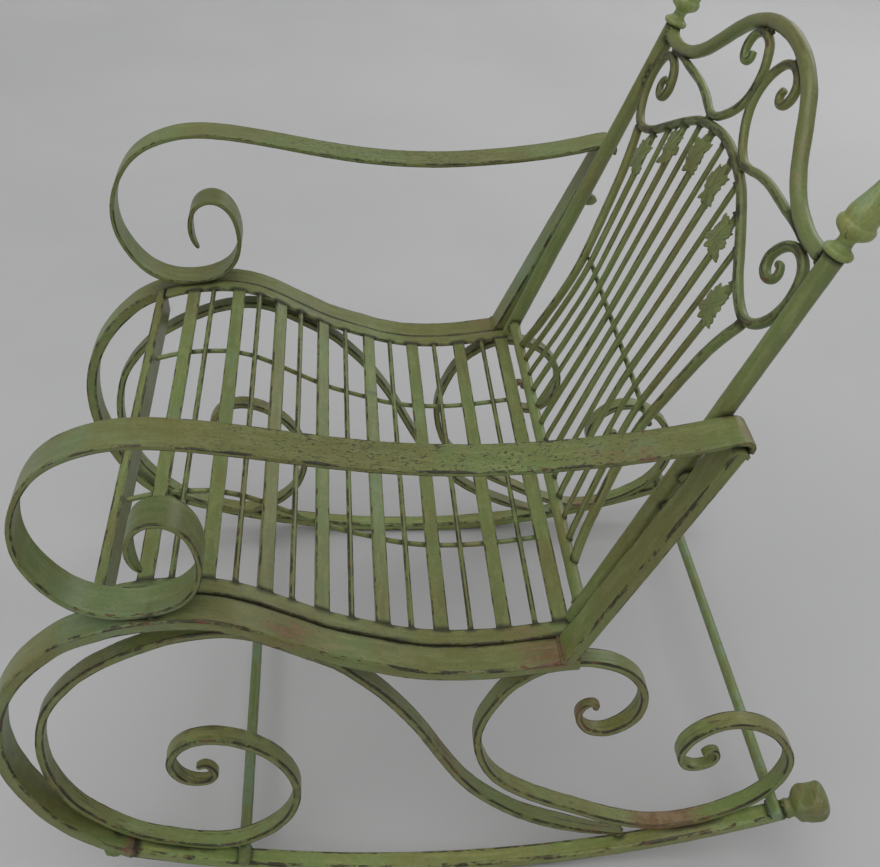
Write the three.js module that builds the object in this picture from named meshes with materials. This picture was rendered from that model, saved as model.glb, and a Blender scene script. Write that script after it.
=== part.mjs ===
// Green painted wrought-iron rocking chair: two bent side frames on curved
// rockers, scroll brackets, rolled arms, a slatted dished seat and a reclined
// back panel of spindles under a bent crest.
// Millimetres, +Z up, +Y to the back of the chair, +X to the sitter's left.
import * as THREE from 'three';

// ---- driving dimensions -------------------------------------------------
const GAP = 0.3;                 // air left between pieces that touch
const FRAME_IN = 279;            // inner face of a side frame
const FRAME_W = 35;              // side frame bar, across
const FRAME_T = 14;              // side frame bar, through
const ARM_IN = 272;              // inner edge of an arm
const ARM_W = 38;
const ARM_T = 5.5;
const ROCKER_IN = 290;           // inner face of a rocker
const ROCKER_W = 22;
const ROCKER_T = 16;
const ROCKER_R = 1050;           // radius of the rocker's underside
const ROCKER_FRONT = -388;       // y of the rocker's front end
const ROCKER_REAR = 405;         // y of the rocker's rear end
const ROCKER_LOW = 42;           // y where the underside is lowest, untilted
const ROCKER_Z = -462;           // height of the lowest point, untilted
const FLAT = 64;                 // half length of the level run a rocker rests on
const SCROLL_IN = 279.5;         // inner face of the scroll bars
const SCROLL_W = 20.5;
const SCROLL_T = 9;
const STRIP_IN = 258.5;          // inner edge of the seat's side strips
const STRIP_W = 20;
const STRIP_T = 5;
const SLAT_W = 16.5;             // wide seat slat
const SLAT_T = 5;
const BAR_W = 6;                 // narrow seat bar
const UNDER_X = 128;             // rods under the seat
const UNDER_R = 3;
const STRETCH_R = 7;             // cross rods on the rockers
const STRETCH_X = 317;
const BACK_Y = 126;              // foot of the back panel
const BACK_Z = -25;
const BACK_TILT = 22.5;          // degrees back from upright
const POST_X = 262;              // back post centre
const POST_R = 9.3;
const POST_LOW = -18;            // foot of a post, along the back
const POST_TOP = 446;            // top of a post, along the back
const CREST_R = 7.5;
const HOOP_R = 5;
const S_R = 4.5;
const FOOT_TUBE_R = 7;
const OUTER_R = 5.3;
const PLAIN_R = 3;
const LEAF_ROD_W = 7;
const LEAF_T = 5;
const CROSS_R = 3;
const CROSS_S = 177;
const REST_TILT = 3.5;           // degrees about X so that it stands at rest
const SHIFT_Y = -0.6;            // puts the box centre over the origin

// ---- outlines, (y, z) in the side plane ---------------------------------
const ARM_LINE = [
  [250.2, 221], [250.1, 227], [244.5, 232.4], [232, 232], [200, 226], [148, 219], [79, 214.5], [25, 214],
  [-27, 217.5], [-78, 224.5], [-129, 235], [-178, 247], [-215, 255.5], [-250, 262], [-277, 264.5],
  [-300, 263.5], [-325, 257.5], [-345, 249], [-364, 235], [-381, 213], [-393, 188], [-398.5, 163],
  [-398, 138], [-392, 116], [-382, 95], [-369, 78], [-353, 66], [-335, 59.3], [-315, 57], [-296, 58.5],
  [-277, 64.5], [-262, 74], [-251, 88], [-244.5, 105], [-242.5, 122], [-244, 140], [-249, 156],
  [-258, 168], [-270, 174], [-283, 173], [-294, 165.5], [-301, 153], [-304.5, 138], [-305, 122],
  [-303.2, 110], [-299.5, 100],
];
const FRAME_OUTER = [
  [-390.5, -366.5], [-405, -355], [-428, -334], [-447, -312], [-462, -288], [-474, -262], [-483, -234],
  [-490, -203], [-494, -172], [-493.5, -140], [-489, -110], [-481, -82], [-470, -57], [-457, -35],
  [-443, -17], [-430, -3], [-417, 9], [-395, 26], [-374, 36.5], [-354, 43.5], [-335, 48.5], [-316, 52],
  [-297, 53.5], [-279, 53.5], [-260, 52.5], [-242, 49], [-224, 43], [-206, 34], [-189, 23.5], [-171, 12],
  [-152, 0], [-134, -11], [-105, -24], [-85, -32], [-66, -40], [-46, -46], [-25, -50.5], [5, -53.5],
  [36, -54], [77, -51], [100.5, -48.6],
];
const POST_FRONT_TOP = [230.6, 227.6];
const POST_T = 14.4;             // horizontal thickness of the arm post
const FRAME_HEEL = [[122, -49], [122, -63]];
const FRONT_SCROLL = [
  [-295, -222], [-286, -218], [-279, -225], [-277, -237], [-285, -246], [-299, -247], [-313, -239],
  [-321, -223], [-322, -203], [-312, -181], [-296, -168.5], [-279, -165], [-262, -167], [-242, -175.5],
  [-222, -191], [-205, -213], [-193, -241], [-188.5, -272], [-193, -302], [-205, -330], [-226, -355],
  [-256, -374], [-287, -381], [-316, -375.8], [-345, -364.2], [-372, -350.5], [-396, -331], [-418.5, -304],
  [-437, -274], [-448, -240], [-453.5, -203], [-452, -166], [-445, -132], [-433, -100], [-411, -68],
  [-380, -38], [-341, -14], [-318, -4], [-290, 6], [-262, 11], [-237, 11.5], [-212, 5], [-188, -9.2],
  [-157, -30], [-128, -51], [-107, -75], [-87, -101], [-67, -133], [-45, -175], [-23, -226], [0, -275],
  [25, -313], [62, -353], [101, -382], [153, -410], [187, -423], [207, -428],
];
const REAR_SCROLL = [
  [148, -163], [150, -157], [144, -152.5], [136, -156], [130.5, -168], [133.5, -185], [144.5, -199],
  [161, -203.5], [178.5, -196], [193, -180], [200, -159], [199.5, -138], [194, -119], [183, -101],
  [168, -87], [151, -78], [131, -72.5], [112, -71.5], [90, -78], [67, -92], [48, -112], [33, -139],
  [22, -168], [18, -194], [21, -228], [32, -263], [48, -289], [73, -314], [104, -338], [143, -363],
  [184, -389], [226, -407.4], [255, -413.2], [284, -411.2], [312, -403], [342, -388], [369, -366], [388, -335],
  [395, -303], [392, -278], [382, -255], [365, -231], [343, -214], [321, -206], [300, -207], [282, -216],
  [267, -232], [259, -252], [260, -271], [269, -286], [284, -291], [298, -286], [304.5, -274], [301, -263],
  [293, -262], [288, -269],
];
const SLATS_Y = [-309, -249, -194, -140, -79, -19, 47];      // wide slats
const BARS_Y = [-283, -222, -169, -111, -50, 12, 80];        // narrow bars
const FRONT_RAIL_Y = -355;
const FRONT_RAIL_D = 11;
const FRONT_RAIL_H = 36;
const REAR_RAIL_Y = 107;
const REAR_RAIL_W = 18;

// ---- outlines, (x, s) in the back panel ---------------------------------
const CREST_HALF = [
  [0, 537], [31, 534.5], [57, 528], [85, 515.5], [106, 499.5], [126.5, 480.5], [145.5, 464], [167.5, 450.5],
  [191, 441.5], [217, 437], [238, 437], [252.2, 438],
];
const HOOP_HALF = [
  [0, 423], [37, 419], [73.5, 409.5], [106.5, 392], [138, 372], [163.5, 355.5], [188, 345], [207, 342.5],
  [225, 350], [239, 365], [246.5, 385], [245.5, 403], [239, 415], [227, 421.5], [213, 422.3], [200, 417.5],
  [189.5, 408], [184.5, 396.5], [188, 387], [198, 383.3], [207.5, 387], [211, 394.5], [206.5, 400.5], [200.5, 399],
];
const S_LINE = [
  [191, 426.6], [182, 429.3], [164, 432.8], [146, 434.2], [115, 434], [90, 430.5], [72, 426], [58, 424.6],
  [44, 428.5], [29, 438], [15, 451], [7, 464], [4.9, 479], [8, 494], [15.5, 506], [25.5, 515], [39.5, 519],
  [54, 516.8], [64.5, 509], [67, 498], [61.5, 489], [52, 487], [46, 492], [48, 499],
];
const OUTER_HALF = [[201, 8], [187, 41], [176, 82], [169, 112], [163.5, 148], [163.5, 178], [169.5, 211], [178.5, 256], [187, 290], [197, 316], [206, 334]];
const LEAF_S = { 1: 384, 3: 362, 5: 320 };

// ---- helpers ------------------------------------------------------------
function smooth(points, n) {
  const c = new THREE.CatmullRomCurve3(points.map(([a, b]) => new THREE.Vector3(a, b, 0)), false, 'centripetal');
  return c.getPoints(n ?? points.length * 12).map((p) => [p.x, p.y]);
}

// keeps the points that hold the line within tol of the full curve
function thin(pts, tol) {
  const keep = new Array(pts.length).fill(false);
  keep[0] = keep[pts.length - 1] = true;
  const stack = [[0, pts.length - 1]];
  while (stack.length) {
    const [i, j] = stack.pop();
    const [ax, ay] = pts[i], [bx, by] = pts[j];
    const L = Math.hypot(bx - ax, by - ay) || 1e-9;
    let worst = -1, at = -1;
    for (let k = i + 1; k < j; k++) {
      const d = Math.abs((bx - ax) * (ay - pts[k][1]) - (ax - pts[k][0]) * (by - ay)) / L;
      if (d > worst) { worst = d; at = k; }
    }
    if (worst > tol) { keep[at] = true; stack.push([i, at], [at, j]); }
  }
  return pts.filter((_, k) => keep[k]);
}

function normals(pts) {
  return pts.map((p, i) => {
    const a = pts[Math.max(0, i - 1)], b = pts[Math.min(pts.length - 1, i + 1)];
    const L = Math.hypot(b[0] - a[0], b[1] - a[1]);
    return [-(b[1] - a[1]) / L, (b[0] - a[0]) / L];
  });
}

function offset(pts, d) {
  const n = normals(pts);
  return pts.map((p, i) => [p[0] + n[i][0] * d, p[1] + n[i][1] * d]);
}

function plate(outline, depth) {
  const shape = new THREE.Shape(outline.map(([a, b]) => new THREE.Vector2(a, b)));
  return new THREE.ExtrudeGeometry(shape, { depth, bevelEnabled: false, steps: 1, curveSegments: 1 });
}

function flatBar(line, t, depth, tol = 0.7) {
  const mid = thin(smooth(line), tol);
  return plate([...offset(mid, t / 2), ...offset(mid, -t / 2).reverse()], depth);
}

// a path that is followed vertex by vertex
class Vertices extends THREE.Curve {
  constructor(pts) { super(); this.pts = pts; }
  at(t) { return t * (this.pts.length - 1); }
  getPoint(t, target = new THREE.Vector3()) {
    const f = this.at(t), i = Math.min(this.pts.length - 2, Math.floor(f));
    return target.copy(this.pts[i]).lerp(this.pts[i + 1], f - i);
  }
  getPointAt(t, target) { return this.getPoint(t, target); }
  getSpacedPoints() { return this.pts.map((p) => p.clone()); }
  getTangent(t, target = new THREE.Vector3()) {
    const i = Math.round(this.at(t));
    const a = this.pts[Math.max(0, i - 1)], b = this.pts[Math.min(this.pts.length - 1, i + 1)];
    return target.copy(b).sub(a).normalize();
  }
  getTangentAt(t, target) { return this.getTangent(t, target); }
}

function round(r, sides) {
  const pts = [];
  for (let i = 0; i < sides; i++) {
    const a = (2 * Math.PI * (i + 0.5)) / sides;
    pts.push(new THREE.Vector2(r * Math.cos(a), r * Math.sin(a)));
  }
  return new THREE.Shape(pts);
}

function tube(points3, r, sides = 6) {
  const path = new Vertices(points3);
  return new THREE.ExtrudeGeometry(round(r, sides), { extrudePath: path, steps: points3.length - 1, bevelEnabled: false });
}

// body of revolution about +Y from (radius, height) pairs, closed by flat ends
function turned(profile, sides) {
  const pos = [], idx = [];
  for (const [r, h] of profile) {
    for (let i = 0; i < sides; i++) {
      const a = (2 * Math.PI * i) / sides;
      pos.push(r * Math.cos(a), h, -r * Math.sin(a));
    }
  }
  const rows = profile.length;
  for (let k = 0; k + 1 < rows; k++) {
    for (let i = 0; i < sides; i++) {
      const j = (i + 1) % sides;
      const a = k * sides + i, b = k * sides + j, c = (k + 1) * sides + j, d = (k + 1) * sides + i;
      idx.push(a, b, c, a, c, d);
    }
  }
  const lo = pos.length / 3;
  pos.push(0, profile[0][1], 0, 0, profile[rows - 1][1], 0);
  for (let i = 0; i < sides; i++) {
    const j = (i + 1) % sides;
    idx.push(lo, j, i, lo + 1, (rows - 1) * sides + i, (rows - 1) * sides + j);
  }
  const g = new THREE.BufferGeometry();
  g.setAttribute('position', new THREE.Float32BufferAttribute(pos, 3));
  g.setIndex(idx);
  g.computeVertexNormals();
  return g;
}

const chair = new THREE.Group();
const body = new THREE.Group();
chair.add(body);

function add(parent, name, geometry, color = 0x6f7a45) {
  const mesh = new THREE.Mesh(geometry, new THREE.MeshStandardMaterial({ color, roughness: 0.6, metalness: 0.3 }));
  mesh.name = name;
  parent.add(mesh);
  return mesh;
}

// turns a plate drawn in (y, z) so that its thickness runs along +X
const SIDE = new THREE.Matrix4().makeBasis(new THREE.Vector3(0, 1, 0), new THREE.Vector3(0, 0, 1), new THREE.Vector3(1, 0, 0));
function sidePlate(name, geometry, x0, w) {
  for (const [tag, sgn] of [['left', 1], ['right', -1]]) {
    const g = geometry.clone().applyMatrix4(SIDE);
    const m = add(body, `${name}_${tag}`, g);
    m.position.x = sgn > 0 ? x0 : -x0 - w;
  }
}

// ---- side frames, arms, scrolls -----------------------------------------
{
  const outer = thin(smooth(FRAME_OUTER), 0.35);
  const inner = offset(outer, -FRAME_T);
  const k = inner.findIndex(([y], i) => i > inner.length / 2 && y > 97);
  const under = inner.slice(0, k);
  const slope = (POST_FRONT_TOP[0] - outer[outer.length - 1][0]) / (POST_FRONT_TOP[1] - outer[outer.length - 1][1]);
  const rear = (z) => outer[outer.length - 1][0] + slope * (z - outer[outer.length - 1][1]) + POST_T;
  const outline = [
    ...outer, POST_FRONT_TOP, [POST_FRONT_TOP[0] + POST_T, POST_FRONT_TOP[1]], [rear(-40), -40],
    ...FRAME_HEEL, ...under.slice().reverse(),
  ];
  outline[0] = [-389.0, -366];
  outline[outline.length - 1] = [-389.0, -348.5];
  sidePlate('side_frame', plate(outline, FRAME_W), FRAME_IN, FRAME_W);
}
sidePlate('arm', flatBar(ARM_LINE, ARM_T, ARM_W), ARM_IN, ARM_W);
sidePlate('front_scroll', flatBar(FRONT_SCROLL, SCROLL_T, SCROLL_W), SCROLL_IN, SCROLL_W);
sidePlate('rear_scroll', flatBar(REAR_SCROLL, SCROLL_T, SCROLL_W), SCROLL_IN, SCROLL_W);

// ---- rockers: an arc of short straight runs, one of them level at rest --
const rockerLow = ROCKER_LOW - ROCKER_R * Math.sin(THREE.MathUtils.degToRad(REST_TILT));
const arcZ = (y, r = ROCKER_R) => ROCKER_Z + ROCKER_R - Math.sqrt(r * r - (y - ROCKER_LOW) ** 2);
const topZ = (y) => arcZ(y, ROCKER_R - ROCKER_T);
{
  const low = [], high = [];
  const STEP = 44;
  const ys = [rockerLow - FLAT, rockerLow + FLAT];
  while (ys[0] - STEP > ROCKER_FRONT + 15) ys.unshift(ys[0] - STEP);
  ys.unshift(ROCKER_FRONT);
  while (ys[ys.length - 1] + STEP < ROCKER_REAR - 15) ys.push(ys[ys.length - 1] + STEP);
  ys.push(ROCKER_REAR);
  for (const y of ys) {
    low.push([y, arcZ(y)]);
    high.push([y, topZ(y)]);
  }
  sidePlate('rocker', plate([...low, ...high.reverse()], ROCKER_W), ROCKER_IN, ROCKER_W);
}

// ---- cast knobs on the rear ends of the rockers -------------------------
{
  const profile = [[8, 0], [11, 3], [11, 7], [8.5, 10], [10, 14], [18, 19], [22, 27], [22.5, 36], [20, 46], [14, 53], [6, 56]];
  const a = Math.asin((ROCKER_REAR - ROCKER_LOW) / ROCKER_R);
  for (const [tag, sgn] of [['left', 1], ['right', -1]]) {
    const m = add(body, `rocker_knob_${tag}`, turned(profile, 10));
    m.rotation.x = a;
    m.position.set(sgn * (ROCKER_IN + ROCKER_W / 2), ROCKER_REAR + 3.2, (arcZ(ROCKER_REAR) + topZ(ROCKER_REAR)) / 2 + 0.5);
  }
}

// ---- cross rods lying on the rockers ------------------------------------
for (const [name, y] of [['stretcher_front', -262], ['stretcher_rear', 391]]) {
  const slope = (y - ROCKER_LOW) / ROCKER_R;
  const m = add(body, name, new THREE.CylinderGeometry(STRETCH_R, STRETCH_R, 2 * STRETCH_X, 10));
  m.rotation.z = Math.PI / 2;
  m.position.set(0, y, topZ(y) + (STRETCH_R + GAP) * Math.sqrt(1 + slope * slope) + 0.4);
}

// ---- seat ---------------------------------------------------------------
const seatLine = smooth(FRAME_OUTER.filter(([y, z]) => y > -400 && z > -80).concat([[122, -47.5]]), 400);
const LIFT = 1.5;                // seat strips stand a little above the frame
function seatAt(y) {
  let i = 0;
  while (i + 2 < seatLine.length && seatLine[i + 1][0] < y) i++;
  const [a, b] = [seatLine[i], seatLine[i + 1]];
  const i0 = Math.max(0, i - 6), i1 = Math.min(seatLine.length - 1, i + 7);
  return {
    z: a[1] + ((b[1] - a[1]) * (y - a[0])) / (b[0] - a[0]) + LIFT,
    slope: (seatLine[i1][1] - seatLine[i0][1]) / (seatLine[i1][0] - seatLine[i0][0]),
  };
}
{
  const y0 = FRONT_RAIL_Y + FRONT_RAIL_D / 2 + GAP, y1 = 117;
  const run = [];
  for (let i = 0; i <= 60; i++) {
    const y = y0 + ((y1 - y0) * i) / 60;
    run.push([y, seatAt(y).z]);
  }
  const top = thin(run, 0.3);
  sidePlate('seat_strip', plate([...top, ...offset(top, -STRIP_T).reverse()], STRIP_W), STRIP_IN, STRIP_W);
  const rod = thin(run, 0.5);
  const low = offset(rod, -(SLAT_T + 0.6 + GAP + UNDER_R));
  for (const [tag, sgn] of [['left', 1], ['right', -1]]) {
    add(body, `under_rod_${tag}`, tube(low.map(([y, z]) => new THREE.Vector3(sgn * UNDER_X, y, z)), UNDER_R, 6));
  }
}
const span = 2 * (STRIP_IN - GAP);
function slat(name, y, w, t, drop) {
  const { z, slope } = seatAt(y);
  const m = add(body, name, new THREE.BoxGeometry(span, w, t));
  const a = Math.atan(slope);
  m.rotation.x = a;
  m.position.set(0, y + Math.sin(a) * (t / 2 + drop), z - Math.cos(a) * (t / 2 + drop));
}
SLATS_Y.forEach((y, i) => slat(`slat_${i + 1}`, y, SLAT_W, SLAT_T, 0.3));
BARS_Y.forEach((y, i) => slat(`seat_bar_${i + 1}`, y, BAR_W, SLAT_T, 0.3));
slat('rear_rail', REAR_RAIL_Y, REAR_RAIL_W, SLAT_T + 1, 0);
{
  const m = add(body, 'front_rail', new THREE.BoxGeometry(2 * (FRAME_IN - GAP), FRONT_RAIL_D, FRONT_RAIL_H));
  m.position.set(0, FRONT_RAIL_Y, seatAt(FRONT_RAIL_Y).z - FRONT_RAIL_H / 2 + 1);
}

// ---- back panel ---------------------------------------------------------
const back = new THREE.Group();
back.position.set(0, BACK_Y, BACK_Z);
back.rotation.x = THREE.MathUtils.degToRad(90 - BACK_TILT);
body.add(back);
const flat3 = (pts, n = 0) => pts.map(([x, s]) => new THREE.Vector3(x, s, n));
const mirror = (pts) => pts.map(([x, s]) => [-x, s]);
const both = (half) => [...mirror(half.slice(1)).reverse(), ...half];

for (const [tag, sgn] of [['left', 1], ['right', -1]]) {
  const post = add(back, `back_post_${tag}`, new THREE.CylinderGeometry(POST_R, POST_R, POST_TOP - POST_LOW, 12));
  post.position.set(sgn * POST_X, (POST_TOP + POST_LOW) / 2, 0);
  const finial = add(back, `finial_${tag}`, turned([
    [11, 0], [13.2, 2.5], [13.2, 6], [9.5, 10], [7, 14], [7.2, 18], [12, 22], [16.5, 27], [16.8, 31], [15.5, 33],
    [14.5, 41], [11.5, 52], [8, 63], [6.5, 70], [8, 75], [8, 81], [5, 87], [2, 90],
  ], 10));
  finial.position.set(sgn * POST_X, POST_TOP + GAP, 0);
  // bolt that ties the post to the side frame
  const bolt = add(back, `post_bolt_${tag}`, new THREE.CylinderGeometry(4.5, 4.5, FRAME_IN - POST_X - POST_R - 2 * GAP, 8));
  bolt.rotation.z = Math.PI / 2;
  bolt.position.set(sgn * (POST_X + POST_R + FRAME_IN) / 2, 166, -3);
  const line = thin(smooth(S_LINE), 0.5);
  add(back, `back_scroll_${tag}`, tube(flat3(sgn > 0 ? line : mirror(line)), S_R, 6));
  const o = thin(smooth(OUTER_HALF), 0.4);
  o[0] = [o[0][0] - 2, FOOT_TUBE_R + 1.5];
  add(back, `outer_spindle_${tag}`, tube(flat3(sgn > 0 ? o : mirror(o)), OUTER_R, 6));
}
const hoop = thin(smooth(both(HOOP_HALF)), 0.6);
add(back, 'hoop', tube(flat3(hoop), HOOP_R, 6));
add(back, 'crest', tube(flat3(thin(smooth(both(CREST_HALF)), 0.35)), CREST_R, 8));
{
  const foot = add(back, 'back_foot_tube', new THREE.CylinderGeometry(FOOT_TUBE_R, FOOT_TUBE_R, 2 * (POST_X - POST_R - GAP), 10));
  foot.rotation.z = Math.PI / 2;
  const cross = add(back, 'cross_rod', new THREE.CylinderGeometry(CROSS_R, CROSS_R, 2 * 163, 8));
  cross.rotation.z = Math.PI / 2;
  cross.position.set(0, CROSS_S, -(OUTER_R + CROSS_R + GAP));
}

// highest point along a rod that stays clear of the hoop
const archPts = smooth(HOOP_HALF.slice(0, 9), 200);
function topAt(x, half) {
  let s = 1e9;
  for (const dx of [-half, 0, half]) {
    for (const [hx, hs] of archPts) {
      const d = Math.abs(hx - Math.abs(x + dx));
      if (d < HOOP_R + GAP) s = Math.min(s, hs - Math.sqrt((HOOP_R + GAP) ** 2 - d * d));
    }
  }
  return s - 0.4;
}
const FOOT_W = 203, WAIST_W = 163.5;
const rodX = (i, s) => (i / 6) * (s < CROSS_S
  ? WAIST_W + (FOOT_W - WAIST_W) * ((CROSS_S - s) / CROSS_S) ** 1.4
  : WAIST_W * (1 + 0.001 * (s - CROSS_S)));
const rodLine = (i, s1) => [0, 0.17, 0.34, 0.5, 0.75, 1].map((k) => {
  const s0 = FOOT_TUBE_R + 1.2;
  const s = s0 + (s1 - s0) * k;
  return [rodX(i, s), s];
});
for (const i of [-4, -2, 0, 2, 4]) {
  const guess = topAt(rodX(i, 380), PLAIN_R + 1);
  add(back, `plain_spindle_${(i + 6) / 2}`, tube(flat3(rodLine(i, guess)), PLAIN_R, 6));
}
const LEAF_SIDE = [
  [3.5, -29], [9, -23], [8, -18], [15.5, -14], [12.5, -8], [17.5, -1], [12.5, 4], [13.5, 11], [8.5, 12], [6.5, 20], [3.5, 24],
];
[-5, -3, -1, 1, 3, 5].forEach((i, n) => {
  const s1 = topAt(rodX(i, LEAF_S[Math.abs(i)] + 30), LEAF_ROD_W / 2 + 1);
  const line = rodLine(i, s1);
  const c = LEAF_S[Math.abs(i)];
  const cx = rodX(i, c);
  const lean = Math.atan((rodX(i, c + 20) - rodX(i, c - 20)) / 40);
  const spot = ([dx, ds]) => [cx + dx * Math.cos(lean) + ds * Math.sin(lean), c + ds * Math.cos(lean) - dx * Math.sin(lean)];
  const side = (sg) => {
    const w = (sg * LEAF_ROD_W) / 2;
    const out = [];
    const stem = line.filter(([, s]) => s < c - 34);
    for (const [x, s] of stem) out.push([x + w, s]);
    for (const [dx, ds] of LEAF_SIDE) out.push(spot([sg * dx, ds]));
    out.push([line[line.length - 1][0] + w * 0.8, s1]);
    return out;
  };
  const outline = [...side(1), ...side(-1).reverse()];
  const g = plate(outline, LEAF_T);
  g.translate(0, 0, -LEAF_T / 2);
  add(back, `leaf_spindle_${n + 1}`, g);
});

// ---- placing ------------------------------------------------------------
body.rotation.x = THREE.MathUtils.degToRad(REST_TILT);
{
  const a = body.rotation.x;
  const centre = ROCKER_LOW * Math.sin(a) + (ROCKER_Z + ROCKER_R) * Math.cos(a);
  body.position.set(0, SHIFT_Y, Math.sqrt(ROCKER_R ** 2 - FLAT ** 2) - centre);
}
chair.updateMatrixWorld(true);

export default chair;
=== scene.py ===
import math

import bmesh
import bpy
import numpy as np
from mathutils import Matrix, Vector
from mathutils.bvhtree import BVHTree

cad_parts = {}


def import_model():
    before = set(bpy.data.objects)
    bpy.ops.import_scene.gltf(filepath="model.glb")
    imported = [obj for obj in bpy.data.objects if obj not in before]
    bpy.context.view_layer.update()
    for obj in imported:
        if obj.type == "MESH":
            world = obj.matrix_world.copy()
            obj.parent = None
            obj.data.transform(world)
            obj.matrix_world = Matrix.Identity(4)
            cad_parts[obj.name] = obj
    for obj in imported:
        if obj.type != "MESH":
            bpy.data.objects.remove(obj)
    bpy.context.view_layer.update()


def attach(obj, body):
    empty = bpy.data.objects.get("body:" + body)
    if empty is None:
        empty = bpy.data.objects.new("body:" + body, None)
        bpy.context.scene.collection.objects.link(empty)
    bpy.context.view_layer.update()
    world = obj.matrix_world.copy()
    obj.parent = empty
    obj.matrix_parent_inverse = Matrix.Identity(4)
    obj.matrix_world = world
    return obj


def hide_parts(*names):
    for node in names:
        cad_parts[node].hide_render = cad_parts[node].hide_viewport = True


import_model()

# ------------------------------------------------------------------ sizes (mm)
FRAME_IN, FRAME_W, FRAME_T = 279.0, 35.0, 14.0
ARM_IN, ARM_W, ARM_T = 272.0, 38.0, 5.5
ROCKER_IN, ROCKER_W, ROCKER_T = 290.0, 22.0, 16.0
ROCKER_R, ROCKER_FRONT, ROCKER_REAR = 1050.0, -388.0, 405.0
ROCKER_LOW, ROCKER_Z, FLAT = 42.0, -462.0, 64.0
SCROLL_IN, SCROLL_W, SCROLL_T = 279.5, 20.5, 9.0
STRIP_IN, STRIP_W, STRIP_T = 258.5, 20.0, 5.0
SLAT_W, SLAT_T, BAR_W = 16.5, 5.0, 6.0
UNDER_X, UNDER_R = 128.0, 3.0
STRETCH_R, STRETCH_X = 7.0, 317.0
BACK_Y, BACK_Z, BACK_TILT = 126.0, -25.0, 22.5
POST_X, POST_R, POST_LOW, POST_TOP = 262.0, 9.3, -18.0, 446.0
CREST_R, HOOP_R, S_R, FOOT_TUBE_R = 7.5, 5.0, 4.5, 7.0
OUTER_R, PLAIN_R, LEAF_ROD_R, CROSS_R, CROSS_S = 5.3, 3.0, 3.7, 3.0, 177.0
REST_TILT, SHIFT_Y = 3.5, -0.6
FRONT_RAIL_Y, FRONT_RAIL_D, FRONT_RAIL_H = -355.0, 11.0, 36.0
REAR_RAIL_Y, REAR_RAIL_W = 107.0, 18.0

ARM_LINE = [
    (245.2, 220.5), (246.6, 224.5), (246.2, 228.6), (241.6, 232.0), (231, 231.8), (200, 226), (148, 219), (79, 214.5), (25, 214),
    (-27, 217.5), (-78, 224.5), (-129, 235), (-178, 247), (-215, 255.5), (-250, 262), (-277, 264.5),
    (-300, 263.5), (-325, 257.5), (-345, 249), (-364, 235), (-381, 213), (-393, 188), (-398.5, 163),
    (-398, 138), (-392, 116), (-382, 95), (-369, 78), (-353, 66), (-335, 59.3), (-315, 57), (-296, 58.5),
    (-277, 64.5), (-262, 74), (-251, 88), (-244.5, 105), (-242.5, 122), (-244, 140), (-249, 156),
    (-258, 168), (-270, 174), (-283, 173), (-294, 165.5), (-301, 153), (-304.5, 138), (-305, 122), (-303.2, 110), (-299.5, 100)]
FRAME_OUTER = [
    (-390.5, -366.5), (-405, -355), (-428, -334), (-447, -312), (-462, -288), (-474, -262), (-483, -234),
    (-490, -203), (-494, -172), (-493.5, -140), (-489, -110), (-481, -82), (-470, -57), (-457, -35),
    (-443, -17), (-430, -3), (-417, 9), (-395, 26), (-374, 36.5), (-354, 43.5), (-335, 48.5), (-316, 52),
    (-297, 53.5), (-279, 53.5), (-260, 52.5), (-242, 49), (-224, 43), (-206, 34), (-189, 23.5), (-171, 12),
    (-152, 0), (-134, -11), (-105, -24), (-85, -32), (-66, -40), (-46, -46), (-25, -50.5), (5, -53.5),
    (36, -54), (77, -51), (100.5, -48.6)]
FRONT_SCROLL = [
    (-295, -222), (-286, -218), (-279, -225), (-277, -237), (-285, -246), (-299, -247), (-313, -239),
    (-321, -223), (-322, -203), (-312, -181), (-296, -168.5), (-279, -165), (-262, -167), (-242, -175.5),
    (-222, -191), (-205, -213), (-193, -241), (-188.5, -272), (-193, -302), (-205, -330), (-226, -355),
    (-256, -374), (-287, -381), (-316, -375.8), (-345, -364.2), (-372, -350.5), (-396, -331), (-418.5, -304),
    (-437, -274), (-448, -240), (-453.5, -203), (-452, -166), (-445, -132), (-433, -100), (-411, -68),
    (-380, -38), (-341, -14), (-318, -4), (-290, 6), (-262, 11), (-237, 11.5), (-212, 5), (-188, -9.2),
    (-157, -30), (-128, -51), (-107, -75), (-87, -101), (-67, -133), (-45, -175), (-23, -226), (0, -275),
    (25, -313), (62, -353), (101, -382), (153, -410), (187, -423), (207, -428)]
REAR_SCROLL = [
    (148, -163), (150, -157), (144, -152.5), (136, -156), (130.5, -168), (133.5, -185), (144.5, -199),
    (161, -203.5), (178.5, -196), (193, -180), (200, -159), (199.5, -138), (194, -119), (183, -101),
    (168, -87), (151, -78), (131, -72.5), (112, -71.5), (90, -78), (67, -92), (48, -112), (33, -139),
    (22, -168), (18, -194), (21, -228), (32, -263), (48, -289), (73, -314), (104, -338), (143, -363),
    (184, -389), (226, -407.4), (255, -413.2), (284, -411.2), (312, -403), (342, -388), (369, -366), (388, -335),
    (395, -303), (392, -278), (382, -255), (365, -231), (343, -214), (321, -206), (300, -207), (282, -216),
    (267, -232), (259, -252), (260, -271), (269, -286), (284, -291), (298, -286), (304.5, -274), (301, -263),
    (293, -262), (288, -269)]
SLATS_Y = [-309, -249, -194, -140, -79, -19, 47]
BARS_Y = [-283, -222, -169, -111, -50, 12, 80]
CREST_HALF = [
    (0, 537), (31, 534.5), (57, 528), (85, 515.5), (106, 499.5), (126.5, 480.5), (145.5, 464), (167.5, 450.5),
    (191, 441.5), (217, 437), (238, 437), (252.2, 438)]
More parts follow.
